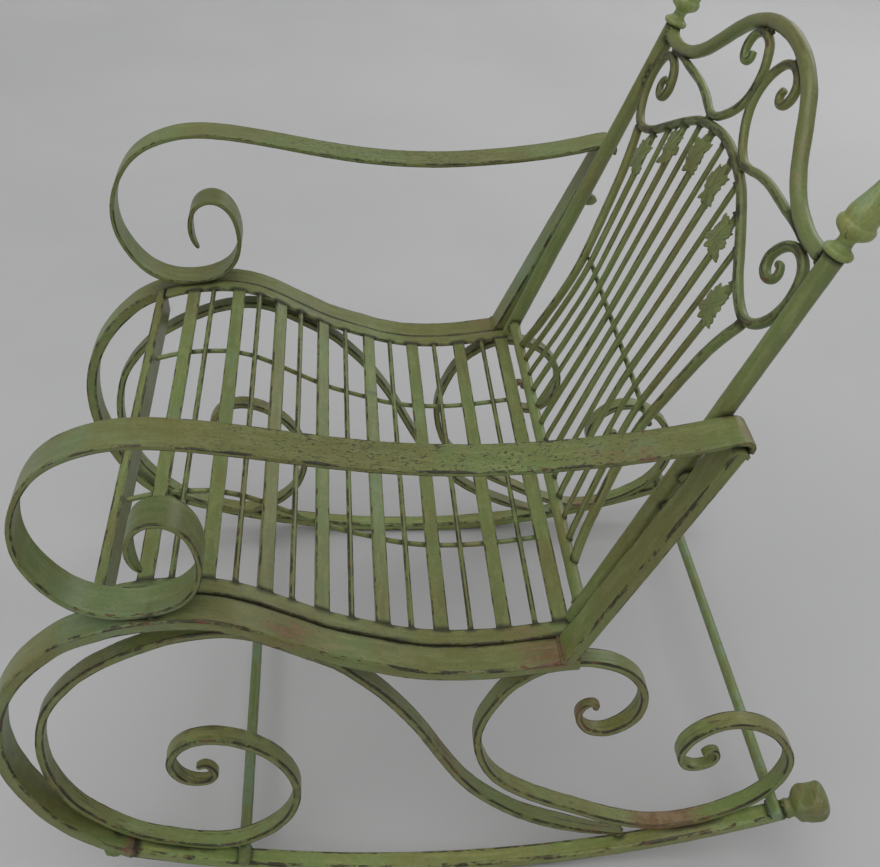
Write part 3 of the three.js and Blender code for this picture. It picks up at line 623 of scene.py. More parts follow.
for tag, sg in SIDES:
    p = Piece(f"back_post_{tag}", "back_paint", f"back_post_{tag}", tint=0.2)
    s = np.linspace(POST_LOW, POST_TOP, 150)
    path = back(np.full(len(s), sg * POST_X), s)
    p.sweep(path, X, BACK_N, lambda inset, i: circle(POST_R, inset, 26), cap=1.4, seed=51 + sg, rough=0.2)
    # finial
    p = Piece(f"finial_{tag}", "casting_paint", f"finial_{tag}", tint=0.7)
    prof = catmull([(0, 9.6), (1.2, 11.8), (2.8, 13.1), (5.2, 13.3), (6.8, 12.4), (8.6, 9.6), (11.2, 7.5), (14.2, 6.9), (17.2, 7.4),
                    (19.4, 9.4), (21.6, 12.6), (24.6, 15.6), (27.6, 16.7), (30.4, 16.7), (32.0, 15.9), (33.2, 14.6), (35.4, 14.3),
                    (39.5, 14.2), (45, 12.9), (51.5, 10.8), (58.5, 8.8), (65, 7.1), (70, 6.2), (73, 6.9), (76.5, 8.2), (80, 8.2),
                    (84, 6.6), (87.4, 4.2), (89.4, 1.8), (89.9, 0.4)], 4)
    m = 44
    a = np.arange(m) / m * 2 * math.pi
    V = np.vstack([back(sg * POST_X + r * np.cos(a), POST_TOP + 0.3 + h, r * np.sin(a)) for h, r in prof])
    V = V + wobble(V, 71 + sg, 1 / 16.0)[:, None] * 0.18
    R = len(prof)
    f = [(i * m + j, i * m + (j + 1) % m, (i + 1) * m + (j + 1) % m, (i + 1) * m + j) for i in range(R - 1) for j in range(m)]
    b = len(V)
    V = np.vstack([V, back(sg * POST_X, POST_TOP + 0.3), back(sg * POST_X, POST_TOP + 90.2)])
    f += [(b, (j + 1) % m, j) for j in range(m)] + [(b + 1, (R - 1) * m + j, (R - 1) * m + (j + 1) % m) for j in range(m)]
    h = np.append(np.repeat(prof[:, 0], m), (0, 90))
    ring = np.exp(-((h - 4) / 2.2) ** 2) * 0.5 + np.exp(-((h - 29) / 2.6) ** 2) * 0.45 + np.exp(-((h - 78) / 3) ** 2) * 0.4
    groove = np.exp(-((h - 14) / 3.2) ** 2) + 0.8 * np.exp(-((h - 33.6) / 1.5) ** 2) + 0.7 * np.exp(-((h - 70) / 2.5) ** 2)
    # the finial's grooves are darkened in their recesses: dirt and painted shade
    p.add(V, f, edge=ring * 0.6, along=h, across=np.append(np.tile(a, R) * 14, (0, 0)), pit=0.2, weld=groove * 0.95)
    # bolt to the arm post
    p = Piece(f"post_bolt_{tag}", "back_paint", f"post_bolt_{tag}", tint=0.1)
    xs = np.linspace(POST_X + POST_R - 1.5, FRAME_IN + 1.0, 12) * sg
    path = back(xs, np.full(12, 166.0), -3.0)
    up = back(0, 1, 0) - back(0, 0, 0)
    p.sweep(path, up, BACK_N, lambda inset, i: circle(4.2, inset, 14), cap=0.8, seed=55 + sg, rough=0.1)
    # scroll between crest and hoop
    q, path, B = panel(S_LINE if sg > 0 else mirror(S_LINE), 2.2)
    p = Piece(f"back_scroll_{tag}", "back_paint", f"back_scroll_{tag}", tint=0.1)
    LS = arclen(path)

    def s_sec(inset, i, LS=LS):
        k = 0.55 + 0.45 * min(1, LS[i] / 46.0)
        e = 0.8 + 0.2 * min(1, (LS[-1] - LS[i]) / 20.0)
        return oval(2 * S_R * e, 2 * S_R * k * e, inset, 2.3, 18)

    p.sweep(path, BACK_N, B, s_sec, cap=1.4, seed=57 + sg, rough=0.16)
    for k, (bx, bs) in enumerate(((57, 419.4), (39, 524.2), (186, 432.6))):
        for dq in (-2.5, 2.5):
            p.blob(back(sg * (bx + dq), bs, 1.5 * (1 if dq > 0 else -1)), (3.2, 2.2, 2.4), seed=180 + k + sg)
    # bowed outer spindle
    q, path, B = panel([(201, 4)] + [(x, s) for x, s in OUTER_HALF[1:]] + [(207.5, 340)] if sg > 0 else mirror([(201, 4)] + [(x, s) for x, s in OUTER_HALF[1:]] + [(207.5, 340)]), 3.2)
    lift = np.clip((26 - q[:, 1]) / 26, 0, 1)
    path = back(q[:, 0], q[:, 1], -1.5 * lift)

    def o_sec(inset, i, lift=lift):
        return oval(2 * OUTER_R * (1 - 0.1 * lift[i]), 2 * OUTER_R * (1 + 0.15 * lift[i]), inset, 2.1, 18)

    p = Piece(f"outer_spindle_{tag}", "back_paint", f"outer_spindle_{tag}", tint=0.05)
    p.sweep(path, BACK_N, B, o_sec, cap=1.4, seed=59 + sg, rough=0.16)
    p.blob(back(sg * 200, 6.8, -1), (6.6, 4.2, 1.8), seed=190 + sg, weld=0.6)
    for dq in (-4, 0, 4):
        p.blob(back(sg * (207 + dq), 338.2, 0), (2.6, 3.4, 2.4), seed=193 + sg + dq)

q, path, B = panel(both(HOOP_HALF), 2.2)
p = Piece("hoop", "back_paint", "hoop", tint=0.12)
LH = arclen(path)


def h_sec(inset, i):
    e = 0.72 + 0.28 * min(1, min(LH[i], LH[-1] - LH[i]) / 40.0)
    return oval(2 * HOOP_R * e, 2 * HOOP_R * e, inset, 2.25, 18)


p.sweep(path, BACK_N, B, h_sec, cap=1.6, seed=63, rough=0.18)
for sg in (1, -1):
    for k, s in enumerate((378, 386, 394)):
        for n in (-4, 4):
            p.blob(back(sg * 251.2, s, n * 0.7), (2.6, 3.2, 3.4), seed=210 + k + sg + n)
q, path, B = panel(both(CREST_HALF), 3.0)
p = Piece("crest", "back_paint", "crest", tint=0.2)
p.sweep(path, BACK_N, B, lambda inset, i: circle(CREST_R, inset, 22), cap=1.0, seed=67, rough=0.24)
for sg in (1, -1):
    for k in range(10):
        t = k / 10 * 2 * math.pi
        p.blob(back(sg * 252.0, 438 + 7.2 * math.cos(t), 7.2 * math.sin(t)), (2.4, 2.4, 2.4), seed=230 + k + sg)
    for k in range(3):
        p.blob(back(sg * (214 + 5 * k), 429.2, 0), (3.2, 2.6, 2.6), seed=245 + k + sg)

p = Piece("back_foot_tube", "back_paint", "back_foot_tube", tint=0.25)
xs = np.linspace(-(POST_X - POST_R + 0.5), POST_X - POST_R + 0.5, 150)
up = back(0, 1, 0) - back(0, 0, 0)
p.sweep(back(xs, np.zeros(len(xs))), up, BACK_N, lambda inset, i: circle(FOOT_TUBE_R, inset, 20), cap=0.8, seed=69, rough=0.2)
for sg in (1, -1):
    for k in range(8):
        t = k / 8 * 2 * math.pi
        p.blob(back(sg * 252.2, 6.6 * math.cos(t), 6.6 * math.sin(t)), (2.6, 2.2, 2.2), seed=250 + k + sg)
p = Piece("cross_rod", "back_paint", "cross_rod", tint=0.1)
xs = np.linspace(-163, 163, 110)
p.sweep(back(xs, np.full(len(xs), CROSS_S), -(OUTER_R + CROSS_R - 0.4)), up, BACK_N, lambda inset, i: circle(CROSS_R, inset, 12), cap=1.0, seed=73, rough=0.1)

arch = catmull(HOOP_HALF[:9], 24)
FOOT_W, WAIST_W = 203.0, 163.5


def rod_x(i, s):
    s = np.asarray(s, float)
    low = WAIST_W + (FOOT_W - WAIST_W) * (np.clip(CROSS_S - s, 0, None) / CROSS_S) ** 1.4
    high = WAIST_W * (1 + 0.001 * (s - CROSS_S))
    return i / 6 * np.where(s < CROSS_S, low, high)


def hoop_s(x):
    return float(np.interp(abs(x), arch[:, 0], arch[:, 1]))


def rod(piece, i, r, m, seed):
    s1 = hoop_s(float(rod_x(i, 385))) - HOOP_R + 1.2
    s = np.linspace(3.0, s1, 120)
    # a slow blend takes the kink out of the waist
    x = rod_x(i, s)
    k = np.exp(-0.5 * (np.arange(-12, 13) / 5.0) ** 2)
    k /= k.sum()
    x = np.convolve(np.pad(x, 12, mode="reflect", reflect_type="odd"), k, mode="valid")
    lift = np.clip((20 - s) / 20, 0, 1)
    rng = np.random.RandomState(seed)
    stray = rng.uniform(-0.6, 0.6) * np.sin(s / 400 * 2 * math.pi + rng.uniform(0, 6))
    path = back(x + stray, s, -1.5 * lift)
    d = np.gradient(x, s)
    B = (back(1, 0, 0) - back(0, 0, 0))[None] - d[:, None] * up[None]
    B /= np.linalg.norm(B, axis=1)[:, None]

    def sec(inset, j):
        return oval(2 * r * (1 - 0.15 * lift[j]), 2 * r * (1 + 0.3 * lift[j]), inset, 2.1, m)

    piece.sweep(path, BACK_N, B, sec, cap=0.9, seed=seed, rough=0.1)
    piece.blob(back(x[-1], s1 - 1.5, 0), (r * 1.25, r * 1.25, r * 1.1), seed=seed + 1)
    piece.blob(back(x[0], 6.4, -1.2), (r * 1.3, r * 1.1, 1.4), seed=seed + 2, weld=0.25)
    return x, s


for i in (-4, -2, 0, 2, 4):
    p = Piece(f"plain_spindle_{(i + 6) // 2}", "back_paint", f"plain_spindle_{(i + 6) // 2}", tint=0.05)
    rod(p, i, PLAIN_R, 12, 500 + i)

# angle from the tip in degrees and reach in mm, for one half of a leaf
LEAF_HALF = [(0, 28.5), (6, 25.0), (11, 24.0), (17, 18.6), (22, 20.4), (27, 23.0), (32, 22.6), (38, 26.0), (43, 22.0), (48, 21.4), (54, 15.8),
             (60, 17.4), (67, 19.6), (73, 18.6), (80, 21.5), (86, 18.6), (92, 18.0), (99, 13.8), (106, 16.2), (113, 19.2), (119, 18.8),
             (126, 23.0), (132, 20.0), (139, 19.2), (146, 13.6), (153, 17.4), (159, 20.5), (165, 19.0), (171, 15.0), (180, 19.0)]
LOBES = [0.0, 38.0, 80.0, 126.0, 159.0]


def leaf(piece, i, seed):
    c = LEAF_S[abs(i)]
    cx = float(rod_x(i, c))
    lean = math.atan((float(rod_x(i, c + 20)) - float(rod_x(i, c - 20))) / 40)
    rng = np.random.RandomState(seed)
    lean += rng.uniform(-0.12, 0.12)
    na, nr = 180, 11
    lh = np.array(LEAF_HALF, float)
    deg = np.arange(na) / na * 360.0
    half = np.where(deg > 180, 360 - deg, deg)
    side = np.where(deg > 180, -1.0, 1.0)
    warp = half + 3.0 * np.sin(half * 0.05 + side * rng.uniform(1, 2) + seed)
    reach = np.interp(np.clip(warp, 0, 180), lh[:, 0], lh[:, 1])
    reach *= 1 + 0.06 * np.sin(deg * math.pi / 180 * 3 + rng.uniform(0, 6))
    reach = np.minimum(reach, 18.6 / np.maximum(np.abs(np.sin(np.radians(deg))), 0.3))
    curl = np.zeros(na)
    groove = np.zeros(na)
    for lb in LOBES:
        for sd in (-1, 1):
            g = np.exp(-((half - lb) / 13.0) ** 2) * (side == sd)
            curl += g * rng.uniform(-3.4, 4.6)
            groove = np.maximum(groove, np.exp(-((half - lb) / 4.5) ** 2) * (side == sd))
    rho = np.linspace(0, 1, nr) ** 0.8
    th = np.radians(deg)
    pts, ed, cre = [], [], []
    for k in range(1, nr):
        r = reach * rho[k]
        zz = 2.6 * (1 - (r / 22.0) ** 2) + curl * rho[k] ** 2.2 - 0.7 * groove * math.sin(rho[k] * math.pi) ** 0.6 + 0.25 * np.sin(r * 1.1 + seed)
        pts.append(np.stack([r * np.sin(th), r * np.cos(th), zz], -1))
        ed.append(np.full(na, max(0.0, (rho[k] - 0.8) / 0.2) * 0.8))
        # darker along the lobe grooves and at the leaf's middle: dirt and painted shade
        cre.append(groove * 0.55 * (rho[k] < 0.85) + 0.5 * np.exp(-(rho[k] / 0.2) ** 2))
    g = np.vstack(pts + [np.array([[0, 0, 2.4]])])
    ed = np.concatenate(ed + [[0]])
    cre = np.concatenate(cre + [[0.5]])

    def put(off):
        x = cx + g[:, 0] * math.cos(lean) + g[:, 1] * math.sin(lean)
        s = c + g[:, 1] * math.cos(lean) - g[:, 0] * math.sin(lean)
        return back(x, s, 3.4 + g[:, 2] + off)

    V = np.vstack([put(0.0), put(-1.5)])
    o = len(g)
    f = []
    for a in range(na):
        b = (a + 1) % na
        f.append((o - 1, a, b))
        f.append((2 * o - 1, o + b, o + a))
        for k in range(nr - 2):
            q = (k * na + a, k * na + b, (k + 1) * na + b, (k + 1) * na + a)
            f.append(q)
            f.append(tuple(o + z for z in q[::-1]))
        k = (nr - 2) * na
        f.append((k + a, k + b, o + k + b, o + k + a))
    piece.add(V, f, edge=np.tile(ed, 2), along=np.tile(g[:, 1], 2), across=np.tile(g[:, 0], 2), weld=np.tile(cre, 2), pit=0.25)


for n, i in enumerate((-5, -3, -1, 1, 3, 5)):
    p = Piece(f"leaf_spindle_{n + 1}", "back_paint", f"leaf_spindle_{n + 1}", tint=0.3)
    rod(p, i, LEAF_ROD_R, 14, 520 + i)
    leaf(p, i, 540 + i)

# ------------------------------------------------------------------ build and measure
for p in PIECES:
    p.build()

# how close each vertex comes to another piece: the paint darkens there, partly dirt in the joints and partly painted
# shade
trees = {}
for p in PIECES:
    trees[p.name] = BVHTree.FromPolygons([Vector(v) for v in p.world], [tuple(f.vertices) for f in p.mesh.polygons])
REACH = 0.011
for p in PIECES:
    best = np.full(len(p.world), REACH)
    for q in PIECES:
        if q is p or np.any(p.lo > q.hi + REACH) or np.any(q.lo > p.hi + REACH):
            continue
        near = np.nonzero(np.all((p.world > q.lo - REACH) & (p.world < q.hi + REACH), axis=1))[0]
        tree = trees[q.name]
        for k in near:
            hit = tree.find_nearest(Vector(p.world[k]), best[k])
            if hit[0] is not None and hit[3] < best[k]:
                best[k] = hit[3]
    p.crev = (1 - best / REACH) * (0.6 if p.name == "back_foot_tube" else 1.0)

# rubbed and rusted places: centre in untilted millimetres, reach along x, y, z, strength
RUST = [
    ((236, 292, 384), (26, 40, 60), 0.40), ((150, 305, 410), (40, 30, 40), 0.42), ((-150, 305, 410), (40, 30, 40), 0.35), ((245, 230, 300), (16, 30, 60), 0.3),
    ((300, -175, 12), (34, 70, 26), 0.72), ((300, -230, 46), (30, 40, 14), 0.5), ((298, 92, -50), (34, 52, 12), 0.85),
    ((270, 70, -50), (16, 60, 12), 0.6), ((288, 250, -410), (26, 105, 18), 0.95), ((288, -25, -222), (22, 60, 60), 0.70),
    ((303, -390, -352), (22, 14, 16), 0.9), ((296, 150, 219), (26, 70, 9), 0.6), ((296, 244, 228), (26, 12, 16), 0.8),
    ((288, -300, -170), (14, 60, 14), 0.5), ((288, -250, -172), (14, 40, 14), 0.55), ((288, 30, -120), (14, 30, 40), 0.45),
    ((288, 300, -207), (14, 60, 14), 0.5), ((288, 390, -300), (14, 20, 60), 0.45), ((296, -390, 190), (26, 16, 40), 0.3),
    ((296, -316, 54), (30, 40, 8), 0.45), ((262, 205, 180), (16, 30, 60), 0.25), ((204, 270, 330), (40, 30, 40), 0.3),
    ((0, 324, 470), (200, 40, 40), 0.3), ((0, 128, -25), (260, 14, 14), 0.35), ((120, -19, -52), (160, 14, 12), 0.3),
    ((-60, 47, -52), (180, 14, 12), 0.35), ((100, -140, -10), (160, 14, 12), 0.3), ((-288, 255, -412), (20, 80, 14), 0.7),
    ((-288, -25, -222), (16, 50, 40), 0.5), ((-296, -175, 14), (30, 55, 22), 0.5), ((-303, -390, -352), (22, 14, 16), 0.8),
    ((-298, 92, -50), (34, 52, 12), 0.6), ((-296, 244, 228), (26, 12, 16), 0.6), ((303, 330, -415), (16, 60, 14), 0.5),
    ((303, -150, -435), (16, 80, 10), 0.35), ((150, 391, -380), (120, 12, 12), 0.3), ((-303, 330, -415), (16, 60, 14), 0.4),
]
# greener (positive) and browner (negative) patches of paint, in the same form
CAST = [
    ((296, -340, 45), (40, 95, 40), 0.85), ((296, -465, -60), (40, 40, 70), 0.5), ((291, -330, 245), (40, 90, 40), 0.75), ((291, -390, 120), (40, 30, 70), 0.45),
    ((291, 0, 214), (40, 60, 20), 0.35), ((291, 165, 222), (40, 90, 16), -0.75), ((296, 40, -54), (40, 110, 16), -0.45), ((303, 300, -420), (30, 90, 30), 0.45),
    ((303, 60, -455), (30, 120, 20), -0.2), ((262, 310, 400), (60, 40, 90), -0.25), ((0, 330, 480), (140, 40, 40), -0.35), ((210, 300, 400), (40, 30, 60), 0.45),
    ((288, -200, -270), (30, 50, 60), 0.35), ((288, 30, -200), (30, 40, 90), 0.3), ((288, 395, -300), (30, 40, 60), -0.3), ((288, -60, -150), (30, 60, 60), -0.4),
    ((-291, -100, 225), (40, 120, 40), 0.5), ((-296, 150, 40), (40, 60, 60), 0.8), ((-296, -150, 10), (40, 90, 30), 0.3), ((0, -249, 50), (160, 12, 12), 0.6),
    ((60, -79, -30), (150, 12, 12), 0.7), ((-80, -19, -50), (140, 12, 12), 0.5), ((120, 47, -52), (120, 12, 12), 0.45), ((0, -355, 40), (280, 14, 30), -0.55),
    ((0, 107, -46), (260, 14, 14), -0.5), ((-288, 100, -330), (30, 120, 60), -0.3), ((-303, 0, -450), (30, 160, 20), 0.3), ((150, 220, 220), (40, 60, 80), -0.35),
    ((-60, 250, 290), (60, 60, 60), -0.3),
]
rng = np.random.RandomState(17)
for p in PIECES:
    raw = np.vstack(p.v)
    rust = np.zeros(len(raw))
    for c, r, s in RUST:
        d = (((raw - np.array(c)) / np.array(r)) ** 2).sum(1)
        rust = np.maximum(rust, s * np.exp(-d * 0.9))
    cast = np.zeros(len(raw))
    for c, r, s in CAST:
        cast += s * np.exp(-(((raw - np.array(c)) / np.array(r)) ** 2).sum(1) * 0.8)
    if p.name.startswith(("stretcher", "finial")):
        cast += 0.45
    if p.name in ("hoop", "cross_rod") or "spindle" in p.name:
        cast -= 0.22
    rust = np.maximum(rust, np.clip(p.crev - 0.55, 0, 1) * 0.7)
    att = {k: np.concatenate([np.asarray(a) for a in v]) for k, v in p.att.items()}
    if p.name.startswith("rocker_knob"):
        rust = np.maximum(rust, 0.40)
        cast -= 0.5
    if p.name.startswith("rear_scroll"):
        # the upper curl is rubbed down to the metal at its tip
        al = att["along"]
        if raw[al < 20, 2].mean() < raw[al > al.max() - 20, 2].mean():
            al = al.max() - al
        rust = np.maximum(rust, 0.80 * np.sqrt(np.clip(1 - al / 120, 0, 1)))
    p.set("edge", att["edge"])
    p.set("along", att["along"] / 1000.0)
    p.set("across", att["across"] / 1000.0)
    p.set("pit", att["pit"])
    # darkness from closeness to other pieces, weld beads, finial grooves and leaf creases: dirt plus painted shade
    p.set("crev", np.maximum(p.crev, att["weld"] * 0.62))
    p.set("rust", rust)
    p.set("tint", np.full(len(raw), p.tint))
    p.set("cool", np.clip(cast, -1, 1))
    p.set("gain", np.full(len(raw), p.gain))
    p.set("wear", np.full(len(raw), p.wear))
    p.set("rnd", np.full(len(raw), rng.uniform(0, 1)))

# ------------------------------------------------------------------ paint


class Nodes:
    def __init__(self, mat):
        self.t = mat.node_tree
        self.t.nodes.clear()

    def new(self, kind, **props):
        n = self.t.nodes.new(kind)
        for k, v in props.items():
            setattr(n, k, v)
        return n

    def link(self, a, b):
        self.t.links.new(a, b)

    def put(self, socket, value):
        if isinstance(value, bpy.types.NodeSocket):
            self.link(value, socket)
        else:
            socket.default_value = value

    def attr(self, name):
        return self.new("ShaderNodeAttribute", attribute_name=name, attribute_type="GEOMETRY").outputs["Fac"]

    def math(self, op, a, b=0.0, c=None, clamp=False):
        n = self.new("ShaderNodeMath", operation=op, use_clamp=clamp)
        self.put(n.inputs[0], a)
        self.put(n.inputs[1], b)
        if c is not None:
            self.put(n.inputs[2], c)
        return n.outputs[0]

    def ramp(self, v, lo, hi, a=0.0, b=1.0, smooth=True):
        n = self.new("ShaderNodeMapRange", interpolation_type="SMOOTHSTEP" if smooth else "LINEAR")
        self.put(n.inputs[0], v)
        for k, x in enumerate((lo, hi, a, b)):
            self.put(n.inputs[k + 1], x)
        return n.outputs[0]

    def vec(self, x, y, z):
        n = self.new("ShaderNodeCombineXYZ")
        for k, v in enumerate((x, y, z)):
            self.put(n.inputs[k], v)
        return n.outputs[0]

    def noise(self, vec, scale, detail=3.0, rough=0.55, distort=0.0):
        n = self.new("ShaderNodeTexNoise")
        self.put(n.inputs["Vector"], vec)
        n.inputs["Scale"].default_value = scale
        n.inputs["Detail"].default_value = detail
        n.inputs["Roughness"].default_value = rough
        n.inputs["Distortion"].default_value = distort
        return n.outputs["Fac"]

    def mix(self, fac, a, b, blend="MIX"):
        n = self.new("ShaderNodeMix", data_type="RGBA", blend_type=blend)
        self.put(n.inputs[0], fac)
        for s, v in ((n.inputs[6], a), (n.inputs[7], b)):
            if isinstance(v, tuple):
                s.default_value = (*v, 1.0)
            else:
                self.link(v, s)
        return n.outputs[2]

    def grey(self, v):
        n = self.new("ShaderNodeCombineColor")
        for k in range(3):
            self.put(n.inputs[k], v)
        return n.outputs[0]


OLIVE = (0.202, 0.202, 0.058)
GREEN = (0.162, 0.216, 0.065)
PALE = (0.276, 0.290, 0.107)
MINT = (0.191, 0.278, 0.157)
WARM = (0.183, 0.153, 0.049)
BROWN = (0.036, 0.028, 0.012)
DARK = (0.016, 0.014, 0.007)
RUST_C = (0.181, 0.070, 0.030)
PINK = (0.270, 0.154, 0.097)


def paint(name, mint=0.0, pale=0.0, wear=1.0, pits=1.0, gloss=0.39, grain=1.0):
    mat = bpy.data.materials.new(name)
    mat.use_nodes = True
    N = Nodes(mat)
    tc = N.new("ShaderNodeTexCoord").outputs["Object"]
    edge, along, across = N.attr("edge"), N.attr("along"), N.attr("across")
    crev, rust, pit, rnd, tint = N.attr("crev"), N.attr("rust"), N.attr("pit"), N.attr("rnd"), N.attr("tint")
    shift = N.math("MULTIPLY", rnd, 40.0)
    flow = N.vec(N.math("MULTIPLY", along, 7.0), N.math("MULTIPLY", across, 260.0), shift)
    flow2 = N.vec(N.math("MULTIPLY", along, 28.0), N.math("MULTIPLY", across, 150.0), shift)
    flake = N.vec(N.math("MULTIPLY", along, 75.0), N.math("MULTIPLY", across, 170.0), shift)
    big = N.noise(tc, 8.0, 3.0)
    mid = N.noise(tc, 27.0, 4.0, 0.6)
    fine = N.noise(tc, 330.0, 3.0, 0.6)
    speck = N.noise(tc, 900.0, 2.0, 0.5)
    blot = N.noise(tc, 62.0, 4.0, 0.62)
    gain, wearv = N.attr("gain"), N.attr("wear")
    streak = N.noise(flow, 1.0, 4.0, 0.6)
    drag = N.noise(flow2, 1.0, 4.0, 0.6)
    chip = N.noise(flake, 1.0, 6.0, 0.62, 0.4)

    # coats of green, one over another
    col = N.mix(N.ramp(big, 0.40, 0.62), OLIVE, GREEN)
    col = N.mix(N.math("MULTIPLY", tint, N.ramp(mid, 0.36, 0.58), clamp=True), col, GREEN)
    col = N.mix(N.math("MULTIPLY", N.ramp(drag, 0.46, 0.68), 0.52 + pale), col, PALE)
    col = N.mix(N.math("MULTIPLY", N.ramp(blot, 0.52, 0.66), 0.42), col, PALE)
    cool = N.attr("cool")
    cw = N.math("ADD", cool, N.math("MULTIPLY", N.math("SUBTRACT", N.math("ADD", N.math("MULTIPLY", mid, 0.5), N.math("MULTIPLY", drag, 0.5)), 0.5), 1.3))
    col = N.mix(N.math("MULTIPLY", N.ramp(cw, 0.30, 1.0), 0.62), col, MINT)
    col = N.mix(N.math("MULTIPLY", N.ramp(cw, -0.25, -0.95), 0.60), col, WARM)
    mm = N.math("MULTIPLY", N.ramp(N.math("ADD", mid, N.math("MULTIPLY", tint, 0.06 + 0.12 * mint)), 0.60, 0.76), 0.40 + 0.45 * mint)
    col = N.mix(mm, col, MINT)
    col = N.mix(1.0, col, N.grey(N.ramp(streak, 0.25, 0.75, 1 - 0.10 * grain, 1 + 0.08 * grain)), "MULTIPLY")
    col = N.mix(1.0, col, N.grey(N.ramp(fine, 0.3, 0.7, 0.93, 1.07)), "MULTIPLY")
    col = N.mix(1.0, col, N.grey(N.ramp(big, 0.3, 0.7, 0.90, 1.10)), "MULTIPLY")
    col = N.mix(1.0, col, N.grey(gain), "MULTIPLY")
    # paint dragged thin along the bars, down to a dark brown
    th = N.math("ADD", N.math("MULTIPLY", streak, 0.60), N.math("MULTIPLY", blot, 0.40))
    th = N.math("ADD", th, N.math("MULTIPLY", N.math("SUBTRACT", wearv, 0.5), 0.11))
    thinp = N.ramp(th, 0.555, 0.665)
    col = N.mix(N.math("MULTIPLY", N.math("MULTIPLY", thinp, wearv), 0.62 * wear * grain), col, BROWN)
    # rubbed edges: broken dark lines
    e = N.math("ADD", N.math("MULTIPLY", edge, N.math("ADD", 0.70, N.math("MULTIPLY", wearv, 0.20))), N.math("MULTIPLY", N.math("SUBTRACT", N.math("ADD", N.math("MULTIPLY", drag, 0.6), N.math("MULTIPLY", blot, 0.4)), 0.5), 2.9))
    emask = N.math("MULTIPLY", N.ramp(e, 0.70, 0.90), 0.90 * wear)
    col = N.mix(emask, col, N.mix(N.ramp(mid, 0.45, 0.62), DARK, BROWN))
    # flaked spots, mostly by the edges and joints
    cv = N.math("ADD", chip, N.math("ADD", N.math("MULTIPLY", edge, 0.12), N.math("MULTIPLY", rust, 0.10)))
    cmask = N.ramp(cv, 0.705, 0.728)
    rim = N.math("SUBTRACT", N.ramp(cv, 0.670, 0.703), cmask, clamp=True)
    col = N.mix(N.math("MULTIPLY", rim, 0.40), col, PALE)
    under = N.mix(N.ramp(mid, 0.42, 0.60), BROWN, RUST_C)
    col = N.mix(N.math("MULTIPLY", cmask, 0.88), col, under)
    # rust and bare pinkish metal where it is rubbed
    rv = N.math("ADD", rust, N.math("MULTIPLY", N.math("SUBTRACT", N.math("ADD", N.math("MULTIPLY", drag, 0.5), N.math("MULTIPLY", blot, 0.5)), 0.5), 2.0))
    rmask = N.ramp(rv, 0.36, 0.92)
    rcol = N.mix(N.ramp(blot, 0.40, 0.60), RUST_C, PINK)
    rcol = N.mix(N.math("MULTIPLY", N.ramp(streak, 0.53, 0.68), 0.6), rcol, BROWN)
    col = N.mix(N.math("MULTIPLY", rmask, 0.74), col, rcol)
    # small dark pits in clusters
    pv = N.noise(N.vec(N.math("MULTIPLY", along, 260.0), N.math("MULTIPLY", across, 520.0), shift), 1.0, 3.0, 0.6)
    pc = N.math("ADD", pv, N.math("MULTIPLY", N.math("SUBTRACT", blot, 0.5), 0.35))
    pmask = N.math("MULTIPLY", N.ramp(pc, 0.565, 0.625), N.math("MULTIPLY", pit, pits), clamp=True)
    col = N.mix(N.math("MULTIPLY", pmask, 0.74), col, DARK)
    sp = N.math("MULTIPLY", N.ramp(speck, 0.64, 0.70), 0.45)
    col = N.mix(sp, col, BROWN)
    # dirt settled in joints, and painted shade: darker where parts come close together, on weld beads and in grooves
    d = N.math("ADD", crev, N.math("MULTIPLY", N.math("SUBTRACT", mid, 0.5), 0.9))
    dirt_shade_mask = N.ramp(d, 0.42, 0.98)
    col = N.mix(N.math("MULTIPLY", dirt_shade_mask, 0.80), col, DARK)

    r = N.math("ADD", gloss, N.math("MULTIPLY", N.math("SUBTRACT", fine, 0.5), 0.25))
    r = N.math("ADD", r, N.math("MULTIPLY", cmask, 0.22))
    r = N.math("ADD", r, N.math("MULTIPLY", rmask, 0.22))
    r = N.math("ADD", r, N.math("MULTIPLY", dirt_shade_mask, 0.20), clamp=True)

    h = N.math("MULTIPLY", streak, 0.26 * grain)
    h = N.math("ADD", h, N.math("MULTIPLY", fine, 0.26))
    h = N.math("ADD", h, N.math("MULTIPLY", mid, 0.7))
    h = N.math("SUBTRACT", h, N.math("MULTIPLY", cmask, 0.45))
    h = N.math("SUBTRACT", h, N.math("MULTIPLY", pmask, 0.55))
    h = N.math("SUBTRACT", h, N.math("MULTIPLY", emask, 0.18))
    h = N.math("ADD", h, N.math("MULTIPLY", N.math("MULTIPLY", rmask, speck), 0.5))
    bump = N.new("ShaderNodeBump")
    bump.inputs["Strength"].default_value = 0.55
    bump.inputs["Distance"].default_value = 0.0007
    N.link(h, bump.inputs["Height"])
    bsdf = N.new("ShaderNodeBsdfPrincipled")
    bsdf.inputs["Metallic"].default_value = 0.0
    bsdf.inputs["Specular IOR Level"].default_value = 0.5
    N.link(col, bsdf.inputs["Base Color"])
    N.link(r, bsdf.inputs["Roughness"])
    N.link(bump.outputs[0], bsdf.inputs["Normal"])
    out = N.new("ShaderNodeOutputMaterial")
    N.link(bsdf.outputs[0], out.inputs["Surface"])
    return mat


MATS = {
    "side_paint": paint("side_paint"),
    "seat_paint": paint("seat_paint", mint=0.1, wear=1.0),
    "back_paint": paint("back_paint", wear=0.9),
    "cross_rod_paint": paint("cross_rod_paint", mint=0.75),
    "casting_paint": paint("casting_paint", mint=0.3, pale=0.1, wear=1.1, gloss=0.40, grain=0.3),
}
for p in PIECES:
    p.mesh.materials.append(MATS[p.slot])
    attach(p.ob, "root")
    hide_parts(*p.nodes)

